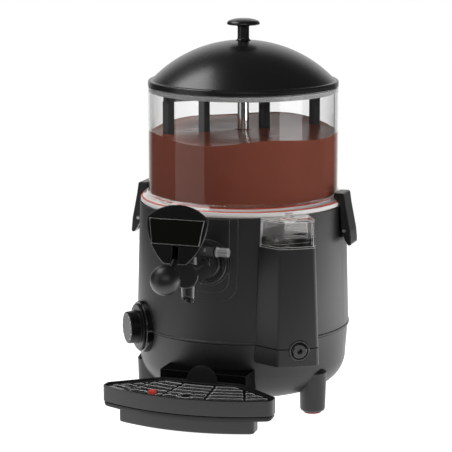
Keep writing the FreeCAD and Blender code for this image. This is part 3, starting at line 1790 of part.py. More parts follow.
def tray_block(name, inset, low, height, corner=None, bottom_radius=None):
    """A prism of the tray's plan, its front corners rounded and, where asked, its bottom edges too."""
    body = padded(name, "XY_Plane", [tray_outline(inset)], low, height)
    front_limit = value_of(tray_shoulder_y) - 6

    def front_upright(edge):
        box_of = edge.BoundBox
        return box_of.ZLength > value_of(height) * 0.9 and box_of.YMax < front_limit

    if corner is not None:
        soften(body, corner, front_upright)
    if bottom_radius is not None:
        soften(body, bottom_radius, lambda edge: edge.BoundBox.ZMax < value_of(low) + 0.01)
    return body


tray_floor = s.tray_bottom + s.tray_wall
grid_low = grid_top - s.grid_thickness
ledge_height = grid_low - 0.3
tray_ledge = s.tray_wall + 2.2
tab_centre = tray_tab_top - s.tray_tab_radius
tab_outline = [(-s.tray_tab_radius, tab_centre - 6), (s.tray_tab_radius, tab_centre - 6)]
tab_outline += half_round(0, tab_centre, s.tray_tab_radius)
node(
    "drip_tray",
    cut(
        fused(
            tray_block("TrayUpper", 0, tray_groove, tray_rim - tray_groove, 9),
            tray_block("TrayLower", 1.0, s.tray_bottom, tray_groove - s.tray_bottom, 8, 4),
            padded("TrayTab", "XZ_Plane", [tab_outline], tray_back_y, s.tray_wall),
        ),
        tray_block("TrayHollow", tray_ledge, tray_floor, ledge_height - tray_floor + 1, 4.5),
        tray_block("GridSeat", s.tray_wall, ledge_height, tray_rim - ledge_height + 1, 6.6),
    ),
)
grid_inset = s.tray_wall + 0.5
grid_plate = tray_block("GridPlate", grid_inset, grid_low, s.grid_thickness, 6)
row_pitch = 12.0
row_width = 7.0
row_count = 5
row_start = s.tray_front_radius - 13 - row_pitch * (row_count - 1) - row_width
rows = []
for index in range(row_count):
    inner = row_start + row_pitch * index
    rows.append(
        [
            (inner, grid_low - 1),
            (inner + row_width, grid_low - 1),
            (inner + row_width, grid_top + 1),
            (inner, grid_top + 1),
        ]
    )
slot_field = common(turned("SlotRows", *rows), tray_block("SlotField", 9.0, grid_low - 2, s.grid_thickness + 4))
spoke_angles = (-19, -7, 7, 19)
spokes = []
for angle in spoke_angles:
    spoke = box(-2.2, 2.2, -s.tray_front_radius, 0, grid_low - 3, grid_top + 3)
    spokes.append(place(group(spoke), 0, 0, 0, angle))
float_y = s.float_inset - root(s.tray_front_radius * s.tray_front_radius - s.float_x * s.float_x)
float_x = -s.float_x
float_hole = cylinder(s.float_radius + 0.5, 10, float_x, float_y, grid_low - 3)
float_collar = cylinder(s.float_radius + 3, 10, float_x, float_y, grid_low - 3)
finger_y = -(s.tray_front_radius - 25)
finger_hole = cylinder(8, 10, 0, finger_y, grid_low - 3)
finger_collar = cylinder(10.5, 10, 0, finger_y, grid_low - 3)
node(
    "drip_grid",
    cut(grid_plate, cut(slot_field, *spokes, float_collar, finger_collar), float_hole, finger_hole),
)
float_disc = s.float_radius + 3.5
float_low = tray_floor + 0.3
tray_float = turned(
    "TrayFloat",
    [
        (0, float_low),
        (float_disc, float_low),
        (float_disc, float_low + 7),
        (s.float_radius, float_low + 7),
        (s.float_radius, float_top - 1),
        (s.float_radius - 1, float_top, 1),
        (0, float_top),
    ],
)
node("tray_float", place(tray_float, float_x, float_y))

# The support stands out from the pan under the tray and rises behind it as a black block.
support_half = s.tray_half_width - s.support_inset
support_front = s.support_front_radius
support_corner_y = -root(support_front * support_front - support_half * support_half)
riser_front = tray_back_y - 0.6
support_rear = pan_side_radius - 18
support_plan = [
    (-support_half, support_corner_y),
    (support_half, support_corner_y, support_front),
    (support_half - 1, support_corner_y + s.support_shoulder),
    (s.riser_half_width, -tray_neck_y - 3),
    (s.riser_half_width, -support_rear),
    (-s.riser_half_width, -support_rear),
    (-s.riser_half_width, -tray_neck_y - 3),
    (-support_half + 1, support_corner_y + s.support_shoulder),
]
support_height = s.tray_bottom - support_bottom
support_base = padded("SupportBase", "XY_Plane", [support_plan], support_bottom, support_height)
soften(
    support_base,
    6,
    lambda edge: edge.BoundBox.ZLength > 10 and edge.BoundBox.YMax < value_of(support_corner_y) + 9,
)
soften(support_base, 2, lambda edge: edge.BoundBox.ZMax < value_of(support_bottom) + 0.01)
riser = box(
    -s.riser_half_width,
    s.riser_half_width,
    -riser_front,
    -support_rear,
    support_bottom + 4,
    riser_top,
)
node("tray_support", cut(fused(support_base, riser), pan_outside()))

# ---------------------------------------------------------------- check and write
doc.recompute()
failed = [thing for thing in doc.Objects if {"Invalid", "Error"} & set(thing.State)]
if failed:
    users = {thing.Name: [user.Name for user in thing.InList] for thing in failed}
    raise RuntimeError(f"these did not recompute, with what uses them: {users}")
os.makedirs("parts", exist_ok=True)
for thing in nodes:
    shape = thing.Shape
    if shape.isNull() or not shape.isValid() or not shape.Solids:
        raise RuntimeError(f"{thing.Label} has no valid solid")
    shape.exportStep(f"parts/{thing.Label}.step")
    print(thing.Label, len(shape.Solids), "solids", round(shape.Volume), "mm3")
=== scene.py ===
import json
import math

import bmesh
import bpy
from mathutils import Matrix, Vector


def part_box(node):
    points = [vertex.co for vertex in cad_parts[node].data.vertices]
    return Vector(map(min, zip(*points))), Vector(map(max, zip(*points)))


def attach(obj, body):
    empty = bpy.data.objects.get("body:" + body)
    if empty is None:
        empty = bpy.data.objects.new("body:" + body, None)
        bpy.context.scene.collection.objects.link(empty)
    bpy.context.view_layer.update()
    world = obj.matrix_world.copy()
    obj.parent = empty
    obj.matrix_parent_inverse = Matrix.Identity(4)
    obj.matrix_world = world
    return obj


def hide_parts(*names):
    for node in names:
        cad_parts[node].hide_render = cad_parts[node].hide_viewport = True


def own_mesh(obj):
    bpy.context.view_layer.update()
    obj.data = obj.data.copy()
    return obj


# The look of a counter-top hot chocolate dispenser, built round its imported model: +Z up, the tap and the
# drip tray towards -Y, metres throughout.

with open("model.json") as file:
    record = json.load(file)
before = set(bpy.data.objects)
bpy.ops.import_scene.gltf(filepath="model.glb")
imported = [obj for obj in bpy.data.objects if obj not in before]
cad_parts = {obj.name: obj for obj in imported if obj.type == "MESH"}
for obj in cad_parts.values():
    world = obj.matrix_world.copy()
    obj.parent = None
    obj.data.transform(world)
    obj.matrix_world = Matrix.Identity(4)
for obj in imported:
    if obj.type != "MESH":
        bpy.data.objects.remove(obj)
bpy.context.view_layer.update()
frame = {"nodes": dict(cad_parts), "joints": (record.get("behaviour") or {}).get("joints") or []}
nodes = frame["nodes"]


# ---------------------------------------------------------------- housing and base pan
# Two black injection mouldings that meet at a seam a hand's breadth above the table. Their mould is
# spark eroded, so the plastic has a fine even grain. Their corners have a painted highlight, and a band of
# painted shade lies along the seam.
def started(name):
    """A new material, its node tree and its shader."""
    made = bpy.data.materials.new(name)
    made.use_nodes = True
    return made, made.node_tree, made.node_tree.nodes["Principled BSDF"]


def clouds(tree, scale, detail, distortion=0, stretch=None):
    """Light and dark that drift through the piece, with about this many blots to the metre."""
    place = tree.nodes.new("ShaderNodeTexCoord")
    spot = place.outputs["Object"]
    if stretch:
        pulled = tree.nodes.new("ShaderNodeMapping")
        pulled.inputs["Scale"].default_value = stretch
        tree.links.new(spot, pulled.inputs["Vector"])
        spot = pulled.outputs["Vector"]
    noise = tree.nodes.new("ShaderNodeTexNoise")
    noise.inputs["Scale"].default_value = scale
    noise.inputs["Detail"].default_value = detail
    noise.inputs["Distortion"].default_value = distortion
    tree.links.new(spot, noise.inputs["Vector"])
    return noise.outputs["Fac"]


def worked_out(tree, operation, *values):
    """One sum inside a material, of sockets and plain numbers."""
    step = tree.nodes.new("ShaderNodeMath")
    step.operation = operation
    for entry, value in zip(step.inputs, values):
        if isinstance(value, (int, float)):
            entry.default_value = value
        else:
            tree.links.new(value, entry)
    return step.outputs["Value"]


def mapped(tree, value, low=0, high=1, start=0, end=1):
    """Carry a value from the range low to high over to the range start to end, and hold it there."""
    scaled = tree.nodes.new("ShaderNodeMapRange")
    scaled.inputs["From Min"].default_value = low
    scaled.inputs["From Max"].default_value = high
    scaled.inputs["To Min"].default_value = start
    scaled.inputs["To Max"].default_value = end
    tree.links.new(value, scaled.inputs["Value"])
    return scaled.outputs["Result"]


def blended(tree, share, first, second):
    """Mix two colours by this share of the second; each is a socket or its three numbers."""
    mix = tree.nodes.new("ShaderNodeMix")
    mix.data_type = "RGBA"
    tree.links.new(share, mix.inputs["Factor"])
    for entry, colour in (("A", first), ("B", second)):
        if isinstance(colour, tuple):
            mix.inputs[entry].default_value = (*colour, 1)
        else:
            tree.links.new(colour, mix.inputs[entry])
    return mix.outputs["Result"]


def laid_over(tree, share, below, above):
    """Show one shader over another, by this share."""
    mix = tree.nodes.new("ShaderNodeMixShader")
    tree.links.new(share, mix.inputs["Fac"])
    tree.links.new(below, mix.inputs[1])
    tree.links.new(above, mix.inputs[2])
    return mix.outputs["Shader"]


def matt(tree, colour):
    """A flat shade with no sheen."""
    shade = tree.nodes.new("ShaderNodeBsdfDiffuse")
    shade.inputs["Color"].default_value = (*colour, 1)
    return shade.outputs["BSDF"]


def pressed(tree, height, strength, depth, under=None):
    """Turn light and dark into a texture of this depth in metres, on top of another normal if given."""
    bump = tree.nodes.new("ShaderNodeBump")
    bump.inputs["Strength"].default_value = strength
    bump.inputs["Distance"].default_value = depth
    tree.links.new(height, bump.inputs["Height"])
    if under:
        tree.links.new(under, bump.inputs["Normal"])
    return bump.outputs["Normal"]


def eased(tree, radius, samples):
    """The piece's normals with its corners rounded to this radius in metres."""
    rounded = tree.nodes.new("ShaderNodeBevel")
    rounded.samples = samples
    rounded.inputs["Radius"].default_value = radius
    return rounded.outputs["Normal"]


def corner_mask(tree, rounded):
    """A value that is 0 on the flats and rises on the corners that the rounded normals ease.

    It starts where they part from the true normals by 8 degrees, and is 1 where they part by 32.
    """
    facing = tree.nodes.new("ShaderNodeNewGeometry")
    spread = tree.nodes.new("ShaderNodeVectorMath")
    spread.operation = "DOT_PRODUCT"
    tree.links.new(rounded, spread.inputs[0])
    tree.links.new(facing.outputs["Normal"], spread.inputs[1])
    return mapped(tree, spread.outputs["Value"], low=0.99, high=0.85)


def heights(node):
    """The lowest and the highest point of a node, to a tenth of a millimetre."""
    low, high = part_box(node)
    return round(low.z, 4), round(high.z, 4)


def banded(material, low, high, colour, share):
    """Lay a matt colour over this share of a material between two heights of its piece."""
    tree = material.node_tree
    place = tree.nodes.new("ShaderNodeTexCoord")
    parts = tree.nodes.new("ShaderNodeSeparateXYZ")
    tree.links.new(place.outputs["Object"], parts.inputs["Vector"])
    inside = worked_out(tree, "COMPARE", parts.outputs["Z"], (low + high) / 2, (high - low) / 2)
    strength = worked_out(tree, "MULTIPLY", inside, share)
    surface = tree.nodes["Material Output"].inputs["Surface"]
    laid = laid_over(tree, strength, surface.links[0].from_socket, matt(tree, colour))
    tree.links.new(laid, surface)


def plastic(name, colour, roughness, grain, depth, specular=0.5, unevenness=0.05, edge=0.0007, edge_highlight=0):
    """A moulded plastic: grain and depth give its texture and edge its corners' radius, all in metres.

    unevenness says how far its shade and sheen drift, and the last argument how pale a highlight is
    painted on its corners.
    """
    made, tree, shader = started(name)
    shader.inputs["Specular IOR Level"].default_value = specular
    drift = clouds(tree, scale=14, detail=3)
    darker = tuple(part * (1 - unevenness) for part in colour)
    lighter = tuple(part * (1 + unevenness) for part in colour)
    shade = blended(tree, drift, darker, lighter)
    spread = unevenness * 0.8
    sheen = mapped(tree, drift, start=roughness - spread, end=roughness + spread)
    tree.links.new(sheen, shader.inputs["Roughness"])
    rounded = eased(tree, edge, samples=4)
    texture = clouds(tree, scale=1 / grain, detail=2)
    textured = pressed(tree, texture, strength=0.6, depth=depth, under=rounded)
    tree.links.new(textured, shader.inputs["Normal"])
    # A pale shade laid over the corners: a painted highlight.
    if edge_highlight:
        shade = blended(tree, corner_mask(tree, rounded), shade, (edge_highlight, edge_highlight, edge_highlight))
    tree.links.new(shade, shader.inputs["Base Color"])
    return made


def finish_node(material, *names, crease=35):
    """Give these nodes one material, and smooth shading up to the crease angle in degrees."""
    for name in names:
        mesh = nodes[name].data
        mesh.materials.clear()
        mesh.materials.append(material)
        for face in mesh.polygons:
            face.material_index = 0
        mesh.shade_smooth()
        mesh.set_sharp_from_angle(angle=math.radians(crease))


shadow_black = (0.001, 0.001, 0.001)
housing_low, _ = heights("upper_housing")
seam_shade_low, seam_shade_high = housing_low - 0.0008, housing_low + 0.0004
grained_black = plastic(
    "grained_black_plastic",
    (0.005, 0.005, 0.0052),
    roughness=0.45,
    grain=0.0009,
    depth=0.00005,
    edge=0.0008,
    edge_highlight=0.13,
)
# The dark band round the seam is painted shade.
banded(grained_black, seam_shade_low, seam_shade_high, shadow_black, 0.9)
finish_node(grained_black, "upper_housing", "base_pan")

# ---------------------------------------------------------------- feet
# Four soft rubber pads with stems pressed up into the legs. The rubber is dark red, and its shade
# drifts from place to place.
foot_rubber = plastic(
    "dark_red_rubber",
    (0.45, 0.03, 0.025),
    roughness=0.7,
    grain=0.0015,
    depth=0.00008,
    specular=0.3,
    unevenness=0.15,
)
finish_node(foot_rubber, "foot_pads")


# ---------------------------------------------------------------- bottom cover and inner drive
# Zinc-plated sheet under the pan with its screws, and the bracket that carries the mixer's motor. Rolled
# sheet shows long faint streaks where the plating is brightest.
def brushed(name, colour, roughness, along, fine=900, depth=0.00001):
    """A metal with fine streaks, this many to the metre, that run along one axis, 0 for X to 2 for Z."""
    made, tree, shader = started(name)
    shader.inputs["Metallic"].default_value = 1
    shader.inputs["Base Color"].default_value = (*colour, 1)
    stretch = [fine * 0.02 if axis == along else fine for axis in range(3)]
    streaks = clouds(tree, scale=1, detail=4, stretch=stretch)
    sheen = mapped(tree, streaks, start=roughness * 0.7, end=roughness * 1.3)
    tree.links.new(sheen, shader.inputs["Roughness"])
    tree.links.new(pressed(tree, streaks, strength=0.5, depth=depth), shader.inputs["Normal"])
    return made


zinc_sheet = brushed("zinc_plated_sheet", (0.56, 0.57, 0.58), roughness=0.38, along=0)
finish_node(zinc_sheet, "bottom_cover", "cover_screws", "motor_bracket")
motor_paint = plastic("motor_paint", (0.14, 0.15, 0.16), roughness=0.45, grain=0.002, depth=0.00005)
finish_node(motor_paint, "gear_motor")
pale_plastic = plastic("off_white_plastic", (0.7, 0.67, 0.6), roughness=0.4, grain=0.001, depth=0.00002)
finish_node(pale_plastic, "shaft_bush", "thermostat_body")

# ---------------------------------------------------------------- vessel, water bath and mixer tube
# The stainless vessel and water jacket inside the housing, with the heater between them, and the polished
# tube up the middle of the bowl that the mixer's shaft turns in. The shaft, the clips' pins, the cross
# pin and the knob's screw are the same steel.
stainless = brushed("brushed_stainless", (0.62, 0.61, 0.59), roughness=0.3, along=2)
finish_node(stainless, "product_vessel", "water_jacket", "heating_element", "drive_shaft", "knob_screw")
finish_node(stainless, "clip_pins", "cross_pin")
polished_tube = brushed(
    "polished_tube",
    (0.8, 0.8, 0.79),
    roughness=0.09,
    along=2,
    fine=300,
    depth=0.000002,
)
finish_node(polished_tube, "centre_tube")

# ---------------------------------------------------------------- mixer
# Hub, two arms, a foot ring and four twisted blades, moulded in black plastic that the drink keeps wet,
# so it has a smoother face than the housing.
mixer_plastic = plastic("mixer_plastic", (0.02, 0.02, 0.021), roughness=0.33, grain=0.0012, depth=0.00003)
finish_node(mixer_plastic, "mixer_hub", "mixer_arms", "mixer_foot", "mixer_blades")

# ---------------------------------------------------------------- bowl gasket
# A soft silicone ring, bright red, squeezed between the vessel's flange and the bowl's. Below the bowl
# its outer lip is painted white: painted light, for the glow of the bowl's clear foot above it.
gasket_low, _ = heights("bowl_gasket")
lip_glow_top = gasket_low + 0.0023
silicone = plastic(
    "red_silicone",
    (0.32, 0.022, 0.012),
    roughness=0.4,
    grain=0.002,
    depth=0.00003,
    specular=0.4,
    unevenness=0.06,
)
# Painted light: the lip below the bowl is painted white.
banded(silicone, gasket_low, lip_glow_top, (0.75, 0.74, 0.72), 1)
finish_node(silicone, "bowl_gasket")


# ---------------------------------------------------------------- bowl
# One clear moulding of polycarbonate: a tall straight wall with a coved foot, and a flange that the two
# clips hold down. Its foot has a painted white glow and a painted red line for the gasket seen through it,
# a grey band is painted just under its rim, and its corners have a painted highlight.
def clear(name, tint, ior, marks, edge, brightness):
    """A clear plastic with faint wiping marks, and a painted white highlight on its corners over this
    width in metres.

    marks says how dull the marks are, and brightness how strong the corners' painted highlight is.
    """
    made, tree, shader = started(name)
    shader.inputs["Base Color"].default_value = (*tint, 1)
    shader.inputs["Transmission Weight"].default_value = 1
    shader.inputs["IOR"].default_value = ior
    wipes = clouds(tree, scale=30, detail=5, distortion=1.5)
    haze = mapped(tree, wipes, low=0.4, high=0.7, end=marks)
    tree.links.new(haze, shader.inputs["Roughness"])

    # The corners get a painted highlight: a matt white laid over them.
    corners = corner_mask(tree, eased(tree, edge, samples=6))
    corner_highlight = worked_out(tree, "MULTIPLY", corners, brightness)
    edged = laid_over(tree, corner_highlight, shader.outputs["BSDF"], matt(tree, (0.9, 0.9, 0.9)))

    shadow_free = tree.nodes.new("ShaderNodeBsdfTransparent")
    shadow_free.inputs["Color"].default_value = (*tint, 1)
    path = tree.nodes.new("ShaderNodeLightPath")
    through = laid_over(tree, path.outputs["Is Shadow Ray"], edged, shadow_free.outputs["BSDF"])
    tree.links.new(through, tree.nodes["Material Output"].inputs["Surface"])
    return made


bowl_low, bowl_high = heights("bowl")
polycarbonate = clear(
    "clear_polycarbonate",
    (0.97, 0.975, 0.97),
    ior=1.45,
    marks=0.02,
    edge=0.0012,
    brightness=0.6,
)
# Painted light on the foot: a white glow, and the red of the gasket seen through it. A grey band is laid
# just under the rim.
banded(polycarbonate, bowl_low, bowl_low + 0.0046, (0.9, 0.9, 0.88), 0.7)
banded(polycarbonate, bowl_low + 0.0048, bowl_low + 0.0063, (0.7, 0.06, 0.03), 0.62)
banded(polycarbonate, bowl_high - 0.0055, bowl_high - 0.0005, (0.55, 0.55, 0.55), 0.35)
finish_node(polycarbonate, "bowl", crease=50)


# ---------------------------------------------------------------- hot chocolate
# The drink fills the vessel and over half the bowl, right up to the wall. Slow stirring leaves its top in
# low rolling waves that climb a little round the mixer's tube. It is thick, brown and wet on top.
def as_piece(name, shape, material):
    """Turn a finished bmesh into an object of one material."""
    mesh = bpy.data.meshes.new(name)
    shape.to_mesh(mesh)
    shape.free()
    made = bpy.data.objects.new(name, mesh)
    made.data.materials.append(material)
    bpy.context.scene.collection.objects.link(made)
    return made


tube_low, tube_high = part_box("centre_tube")
axis_y = (tube_low.y + tube_high.y) / 2
tube_radius = (tube_high.x - tube_low.x) / 2 + 0.0003
drink_level = 0.3316
drink_radius = 0.1115
vessel_radius = 0.1042
vessel_floor = 0.1858
vessel_cove = 0.0105
ripple_height, climb_height, meniscus_height = 0.0004, 0.0012, 0.0007
# How fast the climb dies away from the tube, and the meniscus from the wall.
climb_fade, meniscus_fade = 40, 60
# Each wave: its crests round the wall, half its height, and the angle that it starts at.
wall_waves = (
    (1, 0.0037, -0.1),
    (2, 0.0016, -2.1),
    (3, 0.0016, -2.5),
    (4, 0.0010, -1.5),
    (5, 0.0014, 0.8),
)


def drink_height(turn, reach):
    """How high the drink stands, at an angle from +X and a share of the way from the tube to the wall."""
    height = drink_level
    for crests, size, start in wall_waves:
        height += size * reach**1.5 * math.sin(crests * turn + start)
    ripple = math.sin(reach * 9 - turn * 2) * ripple_height * reach
    climb = climb_height * math.exp(-reach * climb_fade)
    meniscus = meniscus_height * math.exp((reach - 1) * meniscus_fade)
    return height + ripple + climb + meniscus


steps, rings = 144, 40
turns = [2 * math.pi * step / steps for step in range(steps)]
drink = bmesh.new()


def drink_ring(radius, levels):
    """One ring of the drink round the bowl's axis, with a height for each step round it."""
    spots = []
    for turn, height in zip(turns, levels):
        spots.append(drink.verts.new((radius * math.cos(turn), axis_y + radius * math.sin(turn), height)))
    return spots


top = []
for ring in range(rings + 1):
    reach = ring / rings
    radius = tube_radius + (drink_radius - tube_radius) * reach
    top.append(drink_ring(radius, [drink_height(turn, reach) for turn in turns]))
cove_inset = round(vessel_cove * (1 - math.sqrt(0.5)), 4)
below_top = (
    (drink_radius, bowl_low + 0.0128),
    (drink_radius - 0.0011, bowl_low + 0.0104),
    (drink_radius - 0.0022, bowl_low + 0.0028),
    (vessel_radius, bowl_low + 0.0016),
    (vessel_radius, vessel_floor + vessel_cove),
    (vessel_radius - cove_inset, vessel_floor + cove_inset),
    (vessel_radius - vessel_cove, vessel_floor),
    (tube_radius, vessel_floor),
)
sides = [drink_ring(radius, [height] * steps) for radius, height in below_top]
for surface in (top, [top[-1], *sides, top[0]]):
    for inner, outer in zip(surface, surface[1:]):
        for step in range(steps):
            after = (step + 1) % steps
            drink.faces.new((inner[step], outer[step], outer[after], inner[after]))

chocolate, tree, shader = started("hot_chocolate")
shader.inputs["Roughness"].default_value = 0.5
shader.inputs["Specular IOR Level"].default_value = 0.1
shader.inputs["Subsurface Weight"].default_value = 0.15
shader.inputs["Subsurface Radius"].default_value = (0.004, 0.0015, 0.001)
shader.inputs["Subsurface Scale"].default_value = 1
swirl = clouds(tree, scale=9, detail=4, distortion=2)
brown = blended(tree, swirl, (0.150, 0.040, 0.0245), (0.187, 0.050, 0.030))
tree.links.new(brown, shader.inputs["Base Color"])
chocolate_top = chocolate.copy()
chocolate_top.name = "hot_chocolate_top"
shader = chocolate_top.node_tree.nodes["Principled BSDF"]
shader.inputs["Roughness"].default_value = 0.25
shader.inputs["Specular IOR Level"].default_value = 0.5
shader.inputs["IOR"].default_value = 1.11

hot_chocolate = as_piece("hot_chocolate", drink, chocolate)
hot_chocolate.data.materials.append(chocolate_top)
hot_chocolate.data.shade_smooth()
hot_chocolate.data.set_sharp_from_angle(angle=math.radians(40))
for face in hot_chocolate.data.polygons[: steps * rings]:
    face.material_index = 1
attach(hot_chocolate, "housing")

# ---------------------------------------------------------------- lid and knob
# A domed lid in one black moulding with a rolled bead, and a mushroom knob screwed down through its
# crown. Both have a semi-gloss face that shows soft lights and fine handling marks.
lid_plastic = plastic(
    "semi_gloss_black_plastic",
    (0.009, 0.009, 0.009),
    roughness=0.27,
    grain=0.0012,
    depth=0.00001,
    unevenness=0.03,
)
finish_node(lid_plastic, "lid", "lid_knob")

# ---------------------------------------------------------------- water container and its cap
# The top of the water column is a clear box that the user fills and reads, closed by a clear cap. Its
# walls are scratched, have a faint painted glow above the water, and have a painted highlight on their
# corners.
container_low, container_high = heights("water_container")
water_level = container_low + 0.0190
container_plastic = clear(
    "clear_container_plastic",
    (0.95, 0.945, 0.935),
    ior=1.47,
    marks=0.03,
    edge=0.0009,
    brightness=3,
)
# A faint white painted above the water: painted light.
banded(container_plastic, water_level, container_high - 0.0005, (0.9, 0.9, 0.9), 0.03)
finish_node(container_plastic, "water_container", "water_filler_cap", crease=30)

# ---------------------------------------------------------------- water in the column
# Water stands in the clear box up to a little below its level line. It takes the shape of the inside of
# the box, and is tinted grey as painted shade, for the dark of the black column under it.
water_floor = container_low + 0.0023
# The inside of the box, corner by corner from the one nearest the tap.
water_outline = (
    (0.0612, -0.0403),
    (0.0846, -0.0506),
    (0.0885, -0.0505),
    (0.1179, -0.0323),
    (0.1190, -0.0262),
    (0.1041, -0.0015),
    (0.1038, -0.0014),
    (0.0616, -0.0388),
)
water = bmesh.new()
low_ring = [water.verts.new((x, y, water_floor)) for x, y in water_outline]
high_ring = [water.verts.new((x, y, water_level)) for x, y in water_outline]
water.faces.new(low_ring[::-1])
water.faces.new(high_ring)
for step, low_spot in enumerate(low_ring):
    after = (step + 1) % len(low_ring)
    water.faces.new((low_spot, low_ring[after], high_ring[after], high_ring[step]))
# Its grey tint is painted shade, and its corners have a faint painted highlight.
water_clear = clear("water", (0.3, 0.3, 0.295), ior=1.33, marks=0, edge=0.0004, brightness=0.15)
column_water = as_piece("column_water", water, water_clear)
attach(column_water, "housing")

# ---------------------------------------------------------------- drain and cord inlet
# The drain's socket is pressed into a seat at the housing's seam and its plug pushes into it. The inlet
# is a gland clamped through the back of the pan. Both are a denser black plastic with a satin face.
satin_black = plastic(
    "satin_black_plastic",
    (0.007, 0.007, 0.007),
    roughness=0.2,
    grain=0.0009,
    depth=0.00001,
    unevenness=0.04,
    edge=0.0008,
    edge_highlight=0.05,
)
# Their corners have a faint painted highlight.
finish_node(satin_black, "drain_socket", "drain_plug", "cable_gland")

# ---------------------------------------------------------------- tap
# The tap's body, with its spout and valve tower, pushes through a stepped ring into a black rubber seal.
# It, the ring, the plunger and the cap over the plunger's spring are satin black mouldings, and their
# corners have a painted highlight.
tap_black = plastic(
    "tap_black_plastic",
    (0.02, 0.02, 0.02),
    roughness=0.2,
    grain=0.0009,
    depth=0.00001,
    unevenness=0.04,
    edge=0.0009,
    edge_highlight=0.3,
)
finish_node(tap_black, "tap_body", "tap_ring", "tap_plunger", "spring_cap")
seal_rubber = plastic("black_rubber", (0.03, 0.03, 0.03), roughness=0.6, grain=0.001, depth=0.00004)
finish_node(seal_rubber, "tap_seal", "plunger_orings")

# ---------------------------------------------------------------- return spring
# A stainless coil between the plunger's collar and the cap over it. As the plunger lifts, the real coil
# closes up against the cap; here it stays with the housing at its full length.
joints = {joint["name"]: joint for joint in frame["joints"]}
return_spring = bpy.data.objects.new("return_spring", nodes["plunger_spring"].data.copy())
bpy.context.scene.collection.objects.link(return_spring)
return_spring.data.materials.clear()
return_spring.data.materials.append(stainless)
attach(return_spring, "housing")
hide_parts("plunger_spring")
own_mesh(return_spring)

# ---------------------------------------------------------------- tap lever
# One satin black moulding of shield and neck, hung on a light grey pull-out pin, with a bare high-gloss
# plate set into the shield and a matt ball pressed on the neck's end.
# The shield and the badge plate have a painted highlight on their corners.
finish_node(satin_black, "tap_handle")
badge_gloss = plastic(
    "badge_gloss",
    (0.004, 0.004, 0.003),
    roughness=0.06,
    grain=0.002,
    depth=0.000002,
    unevenness=0.02,
    edge=0.0011,
    edge_highlight=0.9,
)
finish_node(badge_gloss, "badge_plate")
ball_black = plastic(
    "ball_black_plastic",
    (0.006, 0.006, 0.006),
    roughness=0.42,
    grain=0.001,
    depth=0.00002,
    unevenness=0.03,
)
finish_node(ball_black, "handle_ball")
# The pin's corners have a painted highlight.
grey_plastic = plastic(
    "light_grey_plastic",
    (0.3, 0.3, 0.3),
    roughness=0.22,
    grain=0.001,
    depth=0.00001,
    edge=0.0006,
    edge_highlight=0.9,
)
finish_node(grey_plastic, "tap_pin")


# ---------------------------------------------------------------- slot shade
# A matt black strip on the floor of the slot in the shield below the badge plate: painted shade, so
# that the slot looks deep.
def slab(name, centre, across, up, size, material, soft=0.0004):
    """A thin plate with eased corners: size is its width, height and thickness in metres."""
    out = across.cross(up).normalized()
    shape = bmesh.new()
    bmesh.ops.create_cube(shape, size=1)
    for vertex in shape.verts:
        along_width, along_height, along_depth = (spot * length for spot, length in zip(vertex.co, size))
        vertex.co = centre + across * along_width + up * along_height + out * along_depth
    bmesh.ops.recalc_face_normals(shape, faces=shape.faces)
    corner = min(soft, min(size) * 0.4)
    bmesh.ops.bevel(shape, geom=shape.edges[:], offset=corner, segments=2, affect="EDGES", profile=0.5)
    made = as_piece(name, shape, material)
    made.data.shade_smooth()
    return made


shield_foot = Vector((0, -0.1623, 0.2120))
shield_lean = math.radians(11.3)
shield_up = Vector((0, math.sin(shield_lean), math.cos(shield_lean)))
shield_out = Vector((0, -math.cos(shield_lean), math.sin(shield_lean)))
slot_shade_centre = shield_foot + shield_up * 0.0120 + shield_out * 0.0019
slot_shade_size = (0.0076, 0.0164, 0.0003)
slot_shade_and_ink = plastic("painted_shade_and_ink_black", shadow_black, roughness=0.9, grain=0.0005, depth=0.00005, specular=0)
slot_painted_shade = slab("slot_painted_shade", slot_shade_centre, Vector((1, 0, 0)), shield_up, slot_shade_size, slot_shade_and_ink)
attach(slot_painted_shade, "handle")

# ---------------------------------------------------------------- dial and its bezel
# A dished bezel in piano black clips into the housing, and the thermostat's knob pushes on its shaft in
# front of it. The knob is a plain matt black, so that its marks read.
gloss_black = plastic(
    "gloss_black_plastic",
    (0.006, 0.006, 0.006),
    roughness=0.12,
    grain=0.002,
    depth=0.000004,
    unevenness=0.02,
    edge=0.0008,
    edge_highlight=0.12,
)
# The bezel's corners have a painted highlight.
finish_node(gloss_black, "dial_bezel")
dial_black = plastic(
    "dial_black_plastic",
    (0.004, 0.004, 0.0036),
    roughness=0.36,
    grain=0.0009,
    depth=0.00001,
    specular=0.18,
    unevenness=0.04,
)
finish_node(dial_black, "dial_knob")

# ---------------------------------------------------------------- dial marks
# Eleven short white dashes pad-printed on the face of the dial, one for each step of heat. They go
# evenly round it and leave its foot open.
mark_count = 11
first_mark, mark_step = 225, 27
mark_reach = 0.0162
mark_size = (0.0010, 0.0026, 0.0003)
dial_out = Vector(joints["dial_turn"]["axis"])
dial_across = dial_out.cross(Vector((0, 0, 1)))
dial_centre = Vector(joints["dial_turn"]["pos_m"])
dial_reach = max(vertex.co.dot(dial_out) for vertex in nodes["dial_knob"].data.vertices)
face_centre = dial_centre + dial_out * (dial_reach - dial_centre.dot(dial_out))
mark_white = plastic("white_print", (0.9, 0.9, 0.88), roughness=0.5, grain=0.002, depth=0.000002)
for mark in range(mark_count):
    turn = math.radians(first_mark - mark_step * mark)
    outwards = dial_across * math.cos(turn) + Vector((0, 0, math.sin(turn)))
    around = outwards.cross(dial_out)
    mark_centre = face_centre + outwards * mark_reach
    name = f"dial_mark_{mark + 1}"
    dash = slab(name, mark_centre, around, outwards, mark_size, mark_white, soft=0.0001)
    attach(dash, "dial")

